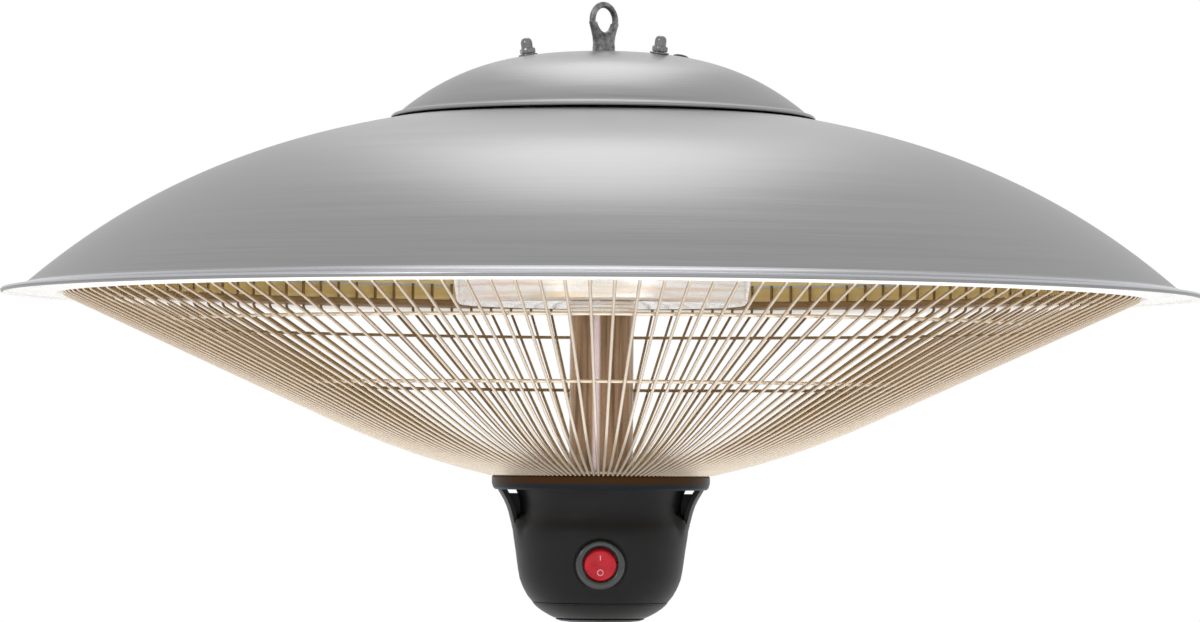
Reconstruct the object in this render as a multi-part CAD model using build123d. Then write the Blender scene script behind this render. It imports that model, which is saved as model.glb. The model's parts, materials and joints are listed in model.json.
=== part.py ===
from build123d import *

import os
from math import acos, atan, ceil, cos, degrees, hypot, pi, radians, sin, sqrt, tan

os.makedirs("parts", exist_ok=True)

# A ceiling heater that hangs from an eye: a spun metal shade over three quartz
# lamps, a wire cage below them, and a moulded housing with a rocker switch.
# Sizes are in millimetres. The origin is the centre of the eye's hole, +Z is
# up, and the switch faces -Y.

# An end edge of a sheet is cut level where it slopes more than this
LEVEL_SLOPE = 0.02

# Round pieces have flat sides, so that the model stays light. This is how far
# the middle of a side may lie inside the true circle.
SIDE_SAG = 0.8

# Hanging eye
EYE_HOLE_R = 6.4
EYE_RING_WALL = 3.3
EYE_RING_WIDTH = 3.4
EYE_LAND = 2.2
EYE_BODY_WIDTH = 16.8
EYE_BODY_THICK = 5.2
EYE_BODY_TOP = -1.0
EYE_COLLAR_R = 5.65
EYE_COLLAR_H = 4.2
EYE_DROP = 16.4
EYE_TURN = 45.0
EYE_SIDES = 20
EYE_CORNER = 1.4

# Rod, nuts and washers down the middle
ROD_R = 3.0
THREAD_CLEARANCE = 0.05
HOLE_CLEARANCE = 0.3
EYE_THREAD_DEPTH = 7.4
ROD_NUT_ACROSS = 10.0
ROD_NUT_H = 5.0
ROD_WASHER_R = 9.0
ROD_WASHER_H = 1.0
ROD_TAIL = 3.0

# Cap over the wiring
CAP_CREASE_R = 101.3
CAP_DROP = 29.8
CAP_ROUNDNESS = 0.19
CAP_BANDS = 5
CAP_PAD_R = 10.0
CAP_LIP_WIDTH = 5.3
CAP_LIP_DROP = 3.6
CAP_WALL = 0.8
CAP_GAP = 0.35
CAP_PLATE_EDGE = 3.9
CAP_PLATE_H = 2.0
STUD_CIRCLE_R = 39.1
STUD_ANGLES = (195.0, 315.0)
STUD_R = 2.0
ACORN_ACROSS = 7.0
ACORN_HEX_H = 3.6
ACORN_H = 8.0
ACORN_DOME_R = 2.9
ACORN_WALL = 1.6
STUD_WASHER_R = 4.8
STUD_WASHER_H = 0.8

# Cable gland on the cap
GLAND_CIRCLE_R = 54.0
GLAND_ANGLE = 45.0
GLAND_BORE_R = 3.1
GLAND_NECK_R = 4.8
GLAND_DOME_R = 5.6
GLAND_DOME_H = 7.6
GLAND_CROWN = 2.6
GLAND_RIM = 1.2
GLAND_SIDES = 16
GLAND_NUT_ACROSS = 13.0
GLAND_NUT_H = 3.6

# Terminal block under the cap plate
BLOCK_SIZE = (36.0, 15.0, 12.0)
BLOCK_Y = 22.0
BLOCK_WAYS = 3
BLOCK_WAY_SIZE = 6.0
BLOCK_WAY_DEPTH = 9.0

# Shade
SHADE_R = 300.0
BRIM_WIDTH = 13.3
SHADE_DROP = 92.2
SHADE_ROUNDNESS = 0.653
SHADE_BANDS = 6
SHADE_PAD_R = 14.0
SHADE_WALL = 0.8
BRIM_DROP = 4.1
BEAD_R = 1.25

# Reflector dish over the lamps
DISH_GAP = 15.15
DISH_WALL = 0.8
DISH_MARGIN = 11.2
DISH_INSET = 2.6
DISH_EDGE_RISE = 10.9
SPACER_R = 8.0
SPACER_WALL = 2.0

# Hub between the lamps
HUB_FLANGE = 6.0
HUB_PLATE_H = 2.0
HUB_TOP_R = 82.0
HUB_BOTTOM_R = 72.7
HUB_H = 43.9
HUB_WALL = 0.8

# Lamps
LAMP_COUNT = 3
LAMP_FIRST_ANGLE = 90.0
LAMP_OFFSET = 128.0
LAMP_DROP = 15.7
LAMP_R = 5.0
LAMP_WALL = 1.0
LAMP_L = 250.0
FILAMENT_R = 0.9
LAMP_CAP_SIZE = (22.0, 14.0, 11.0)
LAMP_CAP_LAP = 8.0
LAMP_CAP_CHAMFER = 1.2
CLIP_WALL = 1.0
CLIP_L = 12.0
CLIP_GRIP = 4.5
CLIP_CLEARANCE = 0.1
CLIP_SCREW_R = 3.0
CLIP_SCREW_H = 2.0

# Limit thermostat inside the hub
CUTOUT_R = 8.0
CUTOUT_H = 9.0
CUTOUT_X = 48.0
CUTOUT_EAR = 24.0
CUTOUT_EAR_H = 1.0

# Column down to the housing
COLUMN_R = 16.0
COLUMN_WALL = 1.2
COLUMN_L = 133.6
PLUG_H = 8.0
COLLAR_WALL = 1.0
COLLAR_H = 5.6
FIT_GAP = 0.05

# Cage of wires
WIRE_COUNT = 150
WIRE_D = 1.5
CAGE_INSET = 17.1
CAGE_SHOULDER_DROP = 5.0
CAGE_KNEE_R = 110.0
CAGE_KNEE_RISE = 14.6
CAGE_END_MARGIN = 0.6
TOP_RING_D = 5.0
TOP_RING_RISE = 4.0
UPPER_RING_INSET = 37.6
LOWER_RING_INSET = 102.8
CROSS_RING_D = 2.2
BOTTOM_RING_D = 2.0
RING_SIDES = 50

# Carrier ring that holds the cage inside the brim
CARRIER_WALL = 0.8
CARRIER_FLARE_INSET = 8.5
CARRIER_FLARE_RISE = 3.0
CARRIER_DROP = 5.7
SEAT_GAP = 0.3

# Housing
LID_R = 54.7
LID_BEVEL = 0.7
LID_H = 7.6
LID_TOP_WALL = 2.2
LID_POCKET_R = 40.0
FLANGE_R = 28.0
FLANGE_H = 2.5
FLANGE_SCREW_COUNT = 4
FLANGE_SCREW_CIRCLE_R = 22.5
FLANGE_SCREW_R = 2.0
FLANGE_SCREW_HEAD_R = 3.6
FLANGE_SCREW_HEAD_H = 2.0
SHELL_H = 56.1
SHELL_WALL = 2.2
SHELL_RADII = (42.6, 40.6, 39.2, 39.7, 42.0, 43.3, 42.4, 41.0, 39.2)
SHELL_DROPS = (0.0, 5.2, 11.2, 16.7, 22.2, 27.2, 35.2, 43.2, 50.0)
ARM_RADII = (52.6, 50.0, 47.6, 45.4, 43.4)
ARM_DROPS = (0.0, 4.2, 10.2, 17.2, 27.0)
ARM_WALL = 2.7
ARM_HALF_ANGLE = 20.0
WEB_HALF_ANGLE = 3.5
SEAM_GAP = 0.3
BOTTOM_H = 7.7
BOTTOM_EDGE_R = 34.7
BOTTOM_FOOT_R = 22.8
BOTTOM_WALL = 2.2
END_CAP_R = 22.3
END_CAP_H = 2.2
END_CAP_CHAMFER = 0.8

# Rocker switch
SWITCH_SIDES = 24
SWITCH_DROP = 36.6
RECESS_R = 13.3
RECESS_FLOOR = 38.6
RECESS_WALL = 2.4
BEZEL_R = 12.3
BEZEL_H = 2.4
BEZEL_CHAMFER = 0.8
SWITCH_BARREL_R = 9.95
SWITCH_BARREL_L = 18.6
SWITCH_HOLE_CLEARANCE = 0.15
ROCKER_BORE_R = 9.0
ROCKER_BORE_L = 9.6
ROCKER_CLEARANCE = 0.2
ROCKER_SET = 0.5
ROCKER_FACE = 3.2
ROCKER_VEE = 8.0
ROCKER_BACK = 4.0
ROCKER_EDGE = 0.6
ROCKER_TILT = 10.0
TRUNNION_R = 1.2
TRUNNION_CLEARANCE = 0.06
TRUNNION_TIP = 9.8
SPADE_SIZE = (6.3, 9.0, 0.8)
SPADE_PITCH = 7.0
SPADE_COUNT = 2


def shade_fall(r):
    """How far the shade's outer face lies below its top at radius r."""
    t = r / SHADE_KINK_R
    return SHADE_DROP * (SHADE_ROUNDNESS * t**2 + (1 - SHADE_ROUNDNESS) * t**4)


def shade_z(r):
    """Height of the shade's outer face at radius r."""
    return SHADE_TOP_Z - shade_fall(r)


def cap_z(r):
    """Height of the cap's outer face at radius r."""
    t = r / CAP_CREASE_R
    return CAP_TOP_Z - CAP_DROP * (CAP_ROUNDNESS * t**2 + (1 - CAP_ROUNDNESS) * t**3)


def cap_slope(r):
    """How steeply the cap falls at radius r."""
    step = 0.5
    return (cap_z(r - step) - cap_z(r + step)) / (2 * step)


def cap_sag(r, reach):
    """How far the cap curves away from its tangent plane within the given reach."""
    return cap_z(r) - cap_slope(r) * reach - cap_z(r + reach)


def cage_z(r):
    """Height of a wire's centre line at radius r on the straight flank."""
    return CAGE_SHOULDER_Z - CAGE_SLOPE * (CAGE_TOP_R - r)


# Radii worked out from the sizes above: the cage and the dish follow the shade
SHADE_KINK_R = SHADE_R - BRIM_WIDTH
CAGE_TOP_R = SHADE_KINK_R - CAGE_INSET
UPPER_RING_R = CAGE_TOP_R - UPPER_RING_INSET
LOWER_RING_R = CAGE_TOP_R - LOWER_RING_INSET
CARRIER_FLARE_R = SHADE_KINK_R - CARRIER_FLARE_INSET
CAGE_END_R = LID_R + CAGE_END_MARGIN
LID_EDGE_R = LID_R - LID_BEVEL
CAP_LIP_R = CAP_CREASE_R + CAP_LIP_WIDTH
CAP_PLATE_R = STUD_CIRCLE_R + CAP_PLATE_EDGE
HUB_PLATE_R = HUB_TOP_R + HUB_FLANGE
LAMP_CAP_X = LAMP_L / 2 - LAMP_CAP_LAP + LAMP_CAP_SIZE[0] / 2
LAMP_REACH = hypot(LAMP_CAP_X + LAMP_CAP_SIZE[0] / 2, LAMP_OFFSET + LAMP_CAP_SIZE[1] / 2)
DISH_FLAT_R = LAMP_REACH + DISH_MARGIN
DISH_R = CAGE_TOP_R - DISH_INSET

# Levels worked out from the sizes above, from the eye down
CAP_TOP_Z = -EYE_DROP
CAP_LIP_Z = cap_z(CAP_CREASE_R) - CAP_LIP_DROP
SHADE_TOP_Z = CAP_LIP_Z - CAP_WALL - CAP_GAP + shade_fall(CAP_LIP_R)
CAP_PLATE_Z = CAP_TOP_Z - CAP_WALL - ROD_WASHER_H - ROD_NUT_H - CAP_PLATE_H
SHADE_KINK_Z = SHADE_TOP_Z - SHADE_DROP
DISH_Z = shade_z(DISH_FLAT_R) - DISH_GAP
DISH_EDGE_Z = SHADE_KINK_Z + DISH_EDGE_RISE
HUB_PLATE_Z = DISH_Z - DISH_WALL - HUB_PLATE_H
HUB_BOTTOM_Z = HUB_PLATE_Z - HUB_H
LAMP_Z = DISH_Z - DISH_WALL - LAMP_DROP
COLUMN_BOTTOM_Z = HUB_PLATE_Z - COLUMN_L
LID_TOP_Z = COLUMN_BOTTOM_Z + FLANGE_H + LID_TOP_WALL
LID_BOTTOM_Z = LID_TOP_Z - LID_H
SHELL_BOTTOM_Z = LID_BOTTOM_Z - SHELL_H
TOP_RING_Z = SHADE_KINK_Z + TOP_RING_RISE
CARRIER_BOTTOM_Z = SHADE_KINK_Z - CARRIER_DROP
CAGE_SHOULDER_Z = SHADE_KINK_Z - CAGE_SHOULDER_DROP
CAGE_END_Z = LID_TOP_Z + SEAT_GAP + BOTTOM_RING_D / 2
CAGE_KNEE_Z = CAGE_END_Z + CAGE_KNEE_RISE
CAGE_SLOPE = (CAGE_SHOULDER_Z - CAGE_KNEE_Z) / (CAGE_TOP_R - CAGE_KNEE_R)
SWITCH_Z = LID_BOTTOM_Z - SWITCH_DROP
ROCKER_Y = -(RECESS_FLOOR + BEZEL_H - ROCKER_SET - ROCKER_FACE)


def offset_path(path, distance, level=True):
    """The path moved to the right of its travel, with mitred corners and, if level, level ends."""
    moved = []
    for i, (x, y) in enumerate(path):
        steps = []
        if i > 0:
            steps.append((x - path[i - 1][0], y - path[i - 1][1]))
        if i < len(path) - 1:
            steps.append((path[i + 1][0] - x, path[i + 1][1] - y))
        normals = [(dy / hypot(dx, dy), -dx / hypot(dx, dy)) for dx, dy in steps]
        nx = sum(n[0] for n in normals)
        ny = sum(n[1] for n in normals)
        scale = distance * len(normals) / (nx * nx + ny * ny)
        moved.append((x + nx * scale, y + ny * scale))
    if level:
        for end, beside in ((0, 1), (-1, -2)):
            dx, dy = path[beside][0] - path[end][0], path[beside][1] - path[end][1]
            if abs(dy) > abs(dx) * LEVEL_SLOPE:
                slide = (path[end][1] - moved[end][1]) / dy
                moved[end] = (moved[end][0] + dx * slide, path[end][1])
    return moved


def under(path, wall, r):
    """Height of a turned sheet's inner face at radius r, in the middle of a flat side."""
    reach = r / cos(pi / side_count(max(x for x, y in path)))
    inner = offset_path(path, wall)
    for (r0, z0), (r1, z1) in zip(inner, inner[1:]):
        if r0 <= reach <= r1:
            return z0 + (z1 - z0) * (reach - r0) / (r1 - r0)
    return inner[-1][1]


def side_count(radius):
    """How many flat sides a round piece of this radius has, a multiple of four."""
    return 4 * max(2, ceil(pi / acos(1 - SIDE_SAG / radius) / 4))


def corner_radius(flat_radius):
    """The corner radius of a round piece whose flat sides lie at the given radius."""
    return flat_radius / cos(pi / side_count(flat_radius))


def turned(outline, sides=0):
    """A turned piece: a closed outline of (radius, height) points swept round Z in flat sides."""
    sides = sides or side_count(max(r for r, z in outline))
    faces = []
    for (r0, z0), (r1, z1) in zip(outline, outline[1:] + outline[:1]):
        if r0 == r1 == 0:
            continue
        for i in range(sides):
            turn, next_turn = 2 * pi * i / sides, 2 * pi * (i + 1) / sides
            corners = [(r0, z0, turn), (r0, z0, next_turn), (r1, z1, next_turn), (r1, z1, turn)]
            if r0 == 0:
                corners = corners[1:]
            if r1 == 0:
                corners = corners[:3]
            points = [(r * cos(a), r * sin(a), z) for r, z, a in corners]
            faces.append(Face(Wire.make_polygon(points, close=True)))
    return Solid(Shell(faces)).clean()


def sheet(path, wall):
    """A turned shell: the path is its outer face and the wall lies to the right of it."""
    return turned(path + offset_path(path, wall)[::-1])


def rod(radius, bottom, top, sides=0):
    return turned([(0, bottom), (radius, bottom), (radius, top), (0, top)], sides)


def tube(radius, bore, bottom, top):
    """A pipe or washer, with the flat sides of its bore at the bore's radius."""
    inner = bore / cos(pi / side_count(radius))
    return turned([(inner, bottom), (radius, bottom), (radius, top), (inner, top)])


def hexagon(across, bottom, top):
    shape = RegularPolygon(across / 2, 6, major_radius=False)
    return Pos(0, 0, bottom) * extrude(shape, top - bottom)


def around(part, count, first=0.0):
    return [Rot(0, 0, first + 360 * i / count) * part for i in range(count)]


def on_cap(radius, angle):
    """A place on the cap with its Z axis square to the sheet."""
    lean = degrees(atan(cap_slope(radius)))
    return Rot(0, 0, angle) * Pos(radius, 0, cap_z(radius)) * Rot(0, lean, 0)


def save(name, solids):
    group = solids if isinstance(solids, list) else [solids]
    bodies = [s for g in group for s in g.solids()]
    export_step(Compound(children=bodies) if len(bodies) > 1 else bodies[0], f"parts/{name}.step")


# Hanging eye and the stack on the rod


def make_eye_nut():
    half_land, half_width = EYE_LAND / 2, EYE_RING_WIDTH / 2
    outer = EYE_HOLE_R + EYE_RING_WALL
    edge = half_width - half_land
    mouth = (EYE_HOLE_R + FIT_GAP) / cos(pi / EYE_SIDES)
    side = [(EYE_HOLE_R - FIT_GAP, half_land), (mouth, half_land), (mouth + edge, half_width),
            (outer - edge, half_width), (outer, half_land)]
    ring = turned([(r, -y) for r, y in side] + side[::-1], EYE_SIDES)
    flare = EYE_BODY_WIDTH / 2
    notch = turned([(0, -half_land - flare), (mouth + flare, -half_land - flare),
                    (mouth, -half_land), (mouth, half_land),
                    (mouth + flare, half_land + flare), (0, half_land + flare)], EYE_SIDES)
    collar_top = EYE_COLLAR_H - EYE_DROP
    neck_r = EYE_COLLAR_R * 0.92
    body = loft([eye_section(neck_r, neck_r, collar_top),
                 eye_section(EYE_BODY_WIDTH / 2, EYE_BODY_THICK / 2, EYE_BODY_TOP)], ruled=True)
    hole = Rot(90, 0, 0) * (Pos(0, 0, -EYE_BODY_WIDTH) * Cylinder(
        EYE_HOLE_R, 2 * EYE_BODY_WIDTH, align=(Align.CENTER, Align.CENTER, Align.MIN)))
    body = body - Rot(90, 0, 0) * notch + Rot(90, 0, 0) * ring - hole
    body += rod(EYE_COLLAR_R, -EYE_DROP, collar_top)
    thread = rod(ROD_R + THREAD_CLEARANCE, -EYE_DROP - 1, -EYE_DROP + EYE_THREAD_DEPTH)
    return Rot(0, 0, EYE_TURN) * body - thread


def eye_section(half_width, half_thick, z):
    """An eight-sided section of the eye's body, with cut corners."""
    w, t = half_width - EYE_CORNER, half_thick - EYE_CORNER
    corners = [(half_width, t), (w, half_thick), (-w, half_thick), (-half_width, t),
               (-half_width, -t), (-w, -half_thick), (w, -half_thick), (half_width, -t)]
    return Face(Wire.make_polygon([(x, y, z) for x, y in corners], close=True))


def rod_stack():
    """Levels of the nuts and washers on the rod, each as (bottom, top)."""
    under_cap = CAP_TOP_Z - CAP_WALL
    under_plug = HUB_PLATE_Z - PLUG_H
    washers = [(under_cap - ROD_WASHER_H, under_cap),
               (SHADE_TOP_Z, SHADE_TOP_Z + ROD_WASHER_H),
               (under_plug - ROD_WASHER_H, under_plug)]
    nuts = [(CAP_PLATE_Z + CAP_PLATE_H, CAP_PLATE_Z + CAP_PLATE_H + ROD_NUT_H),
            (CAP_PLATE_Z - ROD_NUT_H, CAP_PLATE_Z),
            (SHADE_TOP_Z + ROD_WASHER_H, SHADE_TOP_Z + ROD_WASHER_H + ROD_NUT_H),
            (under_plug - ROD_WASHER_H - ROD_NUT_H, under_plug - ROD_WASHER_H)]
    return washers, nuts


def make_rod_parts():
    washers, nuts = rod_stack()
    bore = ROD_R + THREAD_CLEARANCE
    top = -EYE_DROP + EYE_THREAD_DEPTH - HOLE_CLEARANCE
    save("suspension_rod", rod(ROD_R, nuts[-1][0] - ROD_TAIL, top))
    save("rod_nuts", [hexagon(ROD_NUT_ACROSS, a, b) - rod(bore, a, b) for a, b in nuts])
    save("rod_washers", [tube(ROD_WASHER_R, bore, a, b) for a, b in washers])


# Cap, its plate and what fixes it


def cap_path():
    """Outer face of the cap, from the rod's hole over the flat pad to the lip."""
    span = CAP_CREASE_R - CAP_PAD_R
    radii = [CAP_PAD_R + span * i / CAP_BANDS for i in range(1, CAP_BANDS + 1)]
    pad = [(ROD_R + HOLE_CLEARANCE, CAP_TOP_Z), (CAP_PAD_R, CAP_TOP_Z)]
    return pad + [(r, cap_z(r)) for r in radii] + [(CAP_LIP_R, CAP_LIP_Z)]


def make_top_cap():
    cap = sheet(cap_path(), CAP_WALL)
    for angle in STUD_ANGLES:
        cap -= on_cap(STUD_CIRCLE_R, angle) * rod(STUD_R + HOLE_CLEARANCE, -5, 5)
    gland_hole = rod(GLAND_NECK_R + HOLE_CLEARANCE, -5, 5, GLAND_SIDES)
    return cap - on_cap(GLAND_CIRCLE_R, GLAND_ANGLE) * gland_hole


def make_cap_parts():
    save("top_cap", make_top_cap())
    plate = tube(CAP_PLATE_R, ROD_R + HOLE_CLEARANCE, CAP_PLATE_Z, CAP_PLATE_Z + CAP_PLATE_H)
    below = CAP_PLATE_Z - cap_z(STUD_CIRCLE_R)
    studs, nuts, washers = [], [], []
    for angle in STUD_ANGLES:
        place = on_cap(STUD_CIRCLE_R, angle)
        stud_top = FIT_GAP + STUD_WASHER_H + ACORN_H - ACORN_WALL
        studs.append(place * rod(STUD_R, below, stud_top))
        nuts.append(place * make_acorn_nut(FIT_GAP + STUD_WASHER_H))
        washers.append(place * tube(STUD_WASHER_R, STUD_R + THREAD_CLEARANCE, FIT_GAP,
                                    FIT_GAP + STUD_WASHER_H))
        plate -= place * rod(STUD_R + THREAD_CLEARANCE, below - 5, below + 5)
    save("cap_plate", plate)
    save("cap_studs", studs)
    save("acorn_nuts", nuts)
    save("acorn_washers", washers)


def make_acorn_nut(bottom):
    hex_top = bottom + ACORN_HEX_H
    top = bottom + ACORN_H
    shoulder = top - ACORN_DOME_R
    dome = turned([(0, hex_top), (ACORN_DOME_R, hex_top), (ACORN_DOME_R, shoulder),
                   (ACORN_DOME_R * 0.78, top - ACORN_DOME_R * 0.38), (ACORN_DOME_R * 0.3, top),
                   (0, top)])
    nut = hexagon(ACORN_ACROSS, bottom, hex_top) + dome
    return nut - rod(STUD_R + THREAD_CLEARANCE, bottom - 1, top - ACORN_WALL + FIT_GAP)


def make_gland_parts():
    place = on_cap(GLAND_CIRCLE_R, GLAND_ANGLE)
    nut_reach = GLAND_NUT_ACROSS / 2 / cos(pi / 6)
    nut_top = -CAP_WALL - cap_sag(GLAND_CIRCLE_R, nut_reach) - SEAT_GAP
    neck_bottom = nut_top - GLAND_NUT_H - 1
    dome_top = FIT_GAP + GLAND_DOME_H
    rim_r = GLAND_DOME_R + GLAND_RIM
    body = turned([(0, neck_bottom), (GLAND_NECK_R, neck_bottom), (GLAND_NECK_R, FIT_GAP),
                   (rim_r, FIT_GAP), (rim_r, FIT_GAP + GLAND_RIM),
                   (GLAND_DOME_R, FIT_GAP + 2 * GLAND_RIM), (GLAND_DOME_R, dome_top - GLAND_CROWN),
                   (GLAND_BORE_R + GLAND_RIM / 2, dome_top), (0, dome_top)], GLAND_SIDES)
    body -= Cylinder(GLAND_BORE_R, 2 * (dome_top - neck_bottom))
    nut = hexagon(GLAND_NUT_ACROSS, nut_top - GLAND_NUT_H, nut_top)
    nut -= rod(GLAND_NECK_R + THREAD_CLEARANCE, nut_top - GLAND_NUT_H - 1, nut_top + 1, GLAND_SIDES)
    save("cable_gland", place * body)
    save("gland_nut", place * nut)


def make_terminal_block():
    length, width, height = BLOCK_SIZE
    middle = Pos(0, BLOCK_Y, CAP_PLATE_Z - height / 2)
    block = middle * Box(length, width, height)
    pitch = length / BLOCK_WAYS
    for i in range(BLOCK_WAYS):
        x = (i - (BLOCK_WAYS - 1) / 2) * pitch
        mouth_y = BLOCK_Y + width / 2 - BLOCK_WAY_DEPTH / 2
        mouth = Box(BLOCK_WAY_SIZE, BLOCK_WAY_DEPTH, BLOCK_WAY_SIZE)
        block -= Pos(x, mouth_y, CAP_PLATE_Z - height / 2) * mouth
    return block


# Shade, dish and hub


def shade_path():
    """Outer face of the shade, from the rod's hole over the flat pad to the top of the bead."""
    span = SHADE_KINK_R - SHADE_PAD_R
    radii = [SHADE_PAD_R + span * i / SHADE_BANDS for i in range(1, SHADE_BANDS + 1)]
    pad = [(ROD_R + HOLE_CLEARANCE, SHADE_TOP_Z), (SHADE_PAD_R, SHADE_TOP_Z)]
    edge = (SHADE_R - BEAD_R, SHADE_KINK_Z - BRIM_DROP + BEAD_R)
    return pad + [(r, shade_z(r)) for r in radii] + [edge]


def make_shade():
    outer = shade_path()
    edge_r, edge_z = outer[-1]
    inner = offset_path(outer, SHADE_WALL)[::-1]
    bead = [(SHADE_R, edge_z - BEAD_R * 0.6), (SHADE_R, edge_z - BEAD_R * 1.4),
            (edge_r, edge_z - BEAD_R * 2), (edge_r - BEAD_R, edge_z - BEAD_R * 1.4)]
    return turned(outer + bead + inner[1:])


def make_dish():
    hole = ROD_R + HOLE_CLEARANCE
    path = [(hole, DISH_Z), (DISH_FLAT_R, DISH_Z), (DISH_R, DISH_EDGE_Z)]
    return sheet(path, DISH_WALL)


def make_hub_cover():
    column_hole = COLUMN_R + HOLE_CLEARANCE
    flange_z = HUB_PLATE_Z - HUB_WALL
    path = [(HUB_PLATE_R, flange_z), (HUB_TOP_R, flange_z), (HUB_BOTTOM_R, HUB_BOTTOM_Z),
            (column_hole, HUB_BOTTOM_Z)]
    return sheet(path, HUB_WALL)


def make_cutout():
    top = HUB_PLATE_Z
    can = Pos(CUTOUT_X, 0, 0) * rod(CUTOUT_R, top - CUTOUT_H, top - CUTOUT_EAR_H)
    ear = Pos(CUTOUT_X, 0, top - CUTOUT_EAR_H / 2) * Box(CUTOUT_EAR, CUTOUT_R, CUTOUT_EAR_H)
    return can + ear


def make_body_parts():
    save("shade", make_shade())
    shade_under = SHADE_TOP_Z - SHADE_WALL
    save("spacer_tube", tube(SPACER_R, SPACER_R - SPACER_WALL, DISH_Z, shade_under - FIT_GAP))
    save("reflector_dish", make_dish())
    hub_top = HUB_PLATE_Z + HUB_PLATE_H
    save("hub_plate", tube(HUB_PLATE_R, ROD_R + HOLE_CLEARANCE, HUB_PLATE_Z, hub_top))
    save("hub_cover", make_hub_cover())
    save("thermal_cutout", make_cutout())


# Lamps


def at_lamps(part):
    return [Rot(0, 0, LAMP_FIRST_ANGLE - 90) * p for p in around(Pos(0, LAMP_OFFSET, LAMP_Z) * part,
                                                                   LAMP_COUNT)]


def lying(upright):
    """A piece made along Z, laid down along X."""
    return Rot(0, 90, 0) * upright


def make_lamp_parts():
    glass = lying(tube(LAMP_R, LAMP_R - LAMP_WALL, -LAMP_L / 2, LAMP_L / 2))
    filament = lying(rod(FILAMENT_R, -LAMP_L / 2, LAMP_L / 2))
    length, width, height = LAMP_CAP_SIZE
    cap = chamfer(Box(length, width, height).edges().filter_by(Axis.X), LAMP_CAP_CHAMFER)
    socket = lying(rod(LAMP_R + FIT_GAP, -length, LAMP_CAP_LAP - length / 2))
    cap = Pos(LAMP_CAP_X, 0, 0) * (cap - socket)
    clip = Pos(LAMP_CAP_X, 0, 0) * make_clip()
    clip_top = LAMP_DROP - CLIP_WALL
    screw = Pos(LAMP_CAP_X, 0, 0) * hexagon(2 * CLIP_SCREW_R, clip_top - CLIP_SCREW_H, clip_top)
    ends = [Rot(0, 0, 0), Rot(0, 0, 180)]
    save("lamp_tubes", at_lamps(glass))
    save("lamp_filaments", at_lamps(filament))
    save("lamp_caps", [p for e in ends for p in at_lamps(e * cap)])
    save("lamp_clips", [p for e in ends for p in at_lamps(e * clip)])
    save("clip_screws", [p for e in ends for p in at_lamps(e * screw)])


def make_clip():
    """A folded strip from the dish down both sides of a lamp's end cap."""
    inside = LAMP_CAP_SIZE[1] / 2 + CLIP_CLEARANCE
    path = [(-inside, -CLIP_GRIP), (-inside, LAMP_DROP - CLIP_WALL),
            (inside, LAMP_DROP - CLIP_WALL), (inside, -CLIP_GRIP)]
    outline = path + offset_path(path, -CLIP_WALL)[::-1]
    face = make_face(Polyline(*[(0, y, z) for y, z in outline], close=True))
    return extrude(face, CLIP_L / 2, both=True)


# Column


def make_column_parts():
    bore = COLUMN_R - COLUMN_WALL
    save("centre_column", tube(COLUMN_R, bore, COLUMN_BOTTOM_Z, HUB_PLATE_Z))
    save("column_plug", tube(bore - FIT_GAP, ROD_R + THREAD_CLEARANCE, HUB_PLATE_Z - PLUG_H,
                             HUB_PLATE_Z))
    collar_top = HUB_BOTTOM_Z
    save("column_collar", tube(COLUMN_R + COLLAR_WALL, COLUMN_R + FIT_GAP, collar_top - COLLAR_H,
                               collar_top))
    flange_top = COLUMN_BOTTOM_Z + FLANGE_H
    save("column_flange", tube(FLANGE_R, COLUMN_R + FIT_GAP, COLUMN_BOTTOM_Z, flange_top)
         - flange_holes())
    screw = Pos(FLANGE_SCREW_CIRCLE_R, 0, 0) * (
        rod(FLANGE_SCREW_R, COLUMN_BOTTOM_Z - 1, LID_TOP_Z)
        + hexagon(2 * FLANGE_SCREW_HEAD_R, LID_TOP_Z, LID_TOP_Z + FLANGE_SCREW_HEAD_H))
    save("flange_screws", around(screw, FLANGE_SCREW_COUNT, 45))


def flange_holes():
    hole = rod(FLANGE_SCREW_R + THREAD_CLEARANCE, COLUMN_BOTTOM_Z - 1, LID_TOP_Z + 1)
    return around(Pos(FLANGE_SCREW_CIRCLE_R, 0, 0) * hole, FLANGE_SCREW_COUNT, 45)


# Cage


def make_wire():
    """One wire of the cage in the XZ plane: a short stub, a long flank and a foot."""
    stub_top = under(shade_path(), SHADE_WALL, CAGE_TOP_R + WIRE_D / 2) - SEAT_GAP
    path = [(CAGE_TOP_R, stub_top), (CAGE_TOP_R, CAGE_SHOULDER_Z),
            (CAGE_KNEE_R, CAGE_KNEE_Z), (CAGE_END_R, CAGE_END_Z)]
    right = offset_path(path, WIRE_D / 2, level=False)
    left = offset_path(path, -WIRE_D / 2, level=False)
    face = make_face(Polyline(*[(r, 0, z) for r, z in right + left[::-1]], close=True))
    return extrude(face, WIRE_D / 2, both=True)


def make_ring(outer_r, middle_z, thickness):
    """A ring of square wire with its corners at the given outer radius."""
    bottom, top = middle_z - thickness / 2, middle_z + thickness / 2
    inner_r = outer_r - thickness
    return turned([(inner_r, bottom), (outer_r, bottom), (outer_r, top), (inner_r, top)],
                  RING_SIDES)


def flank_ring(radius):
    """A cross ring that lies on the inner side of the wires' flank."""
    half = CROSS_RING_D / 2
    lift = (WIRE_D / 2 + FIT_GAP) * sqrt(1 + CAGE_SLOPE**2) + half * (1 + CAGE_SLOPE)
    return make_ring(radius + half, cage_z(radius) + lift, CROSS_RING_D)


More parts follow.
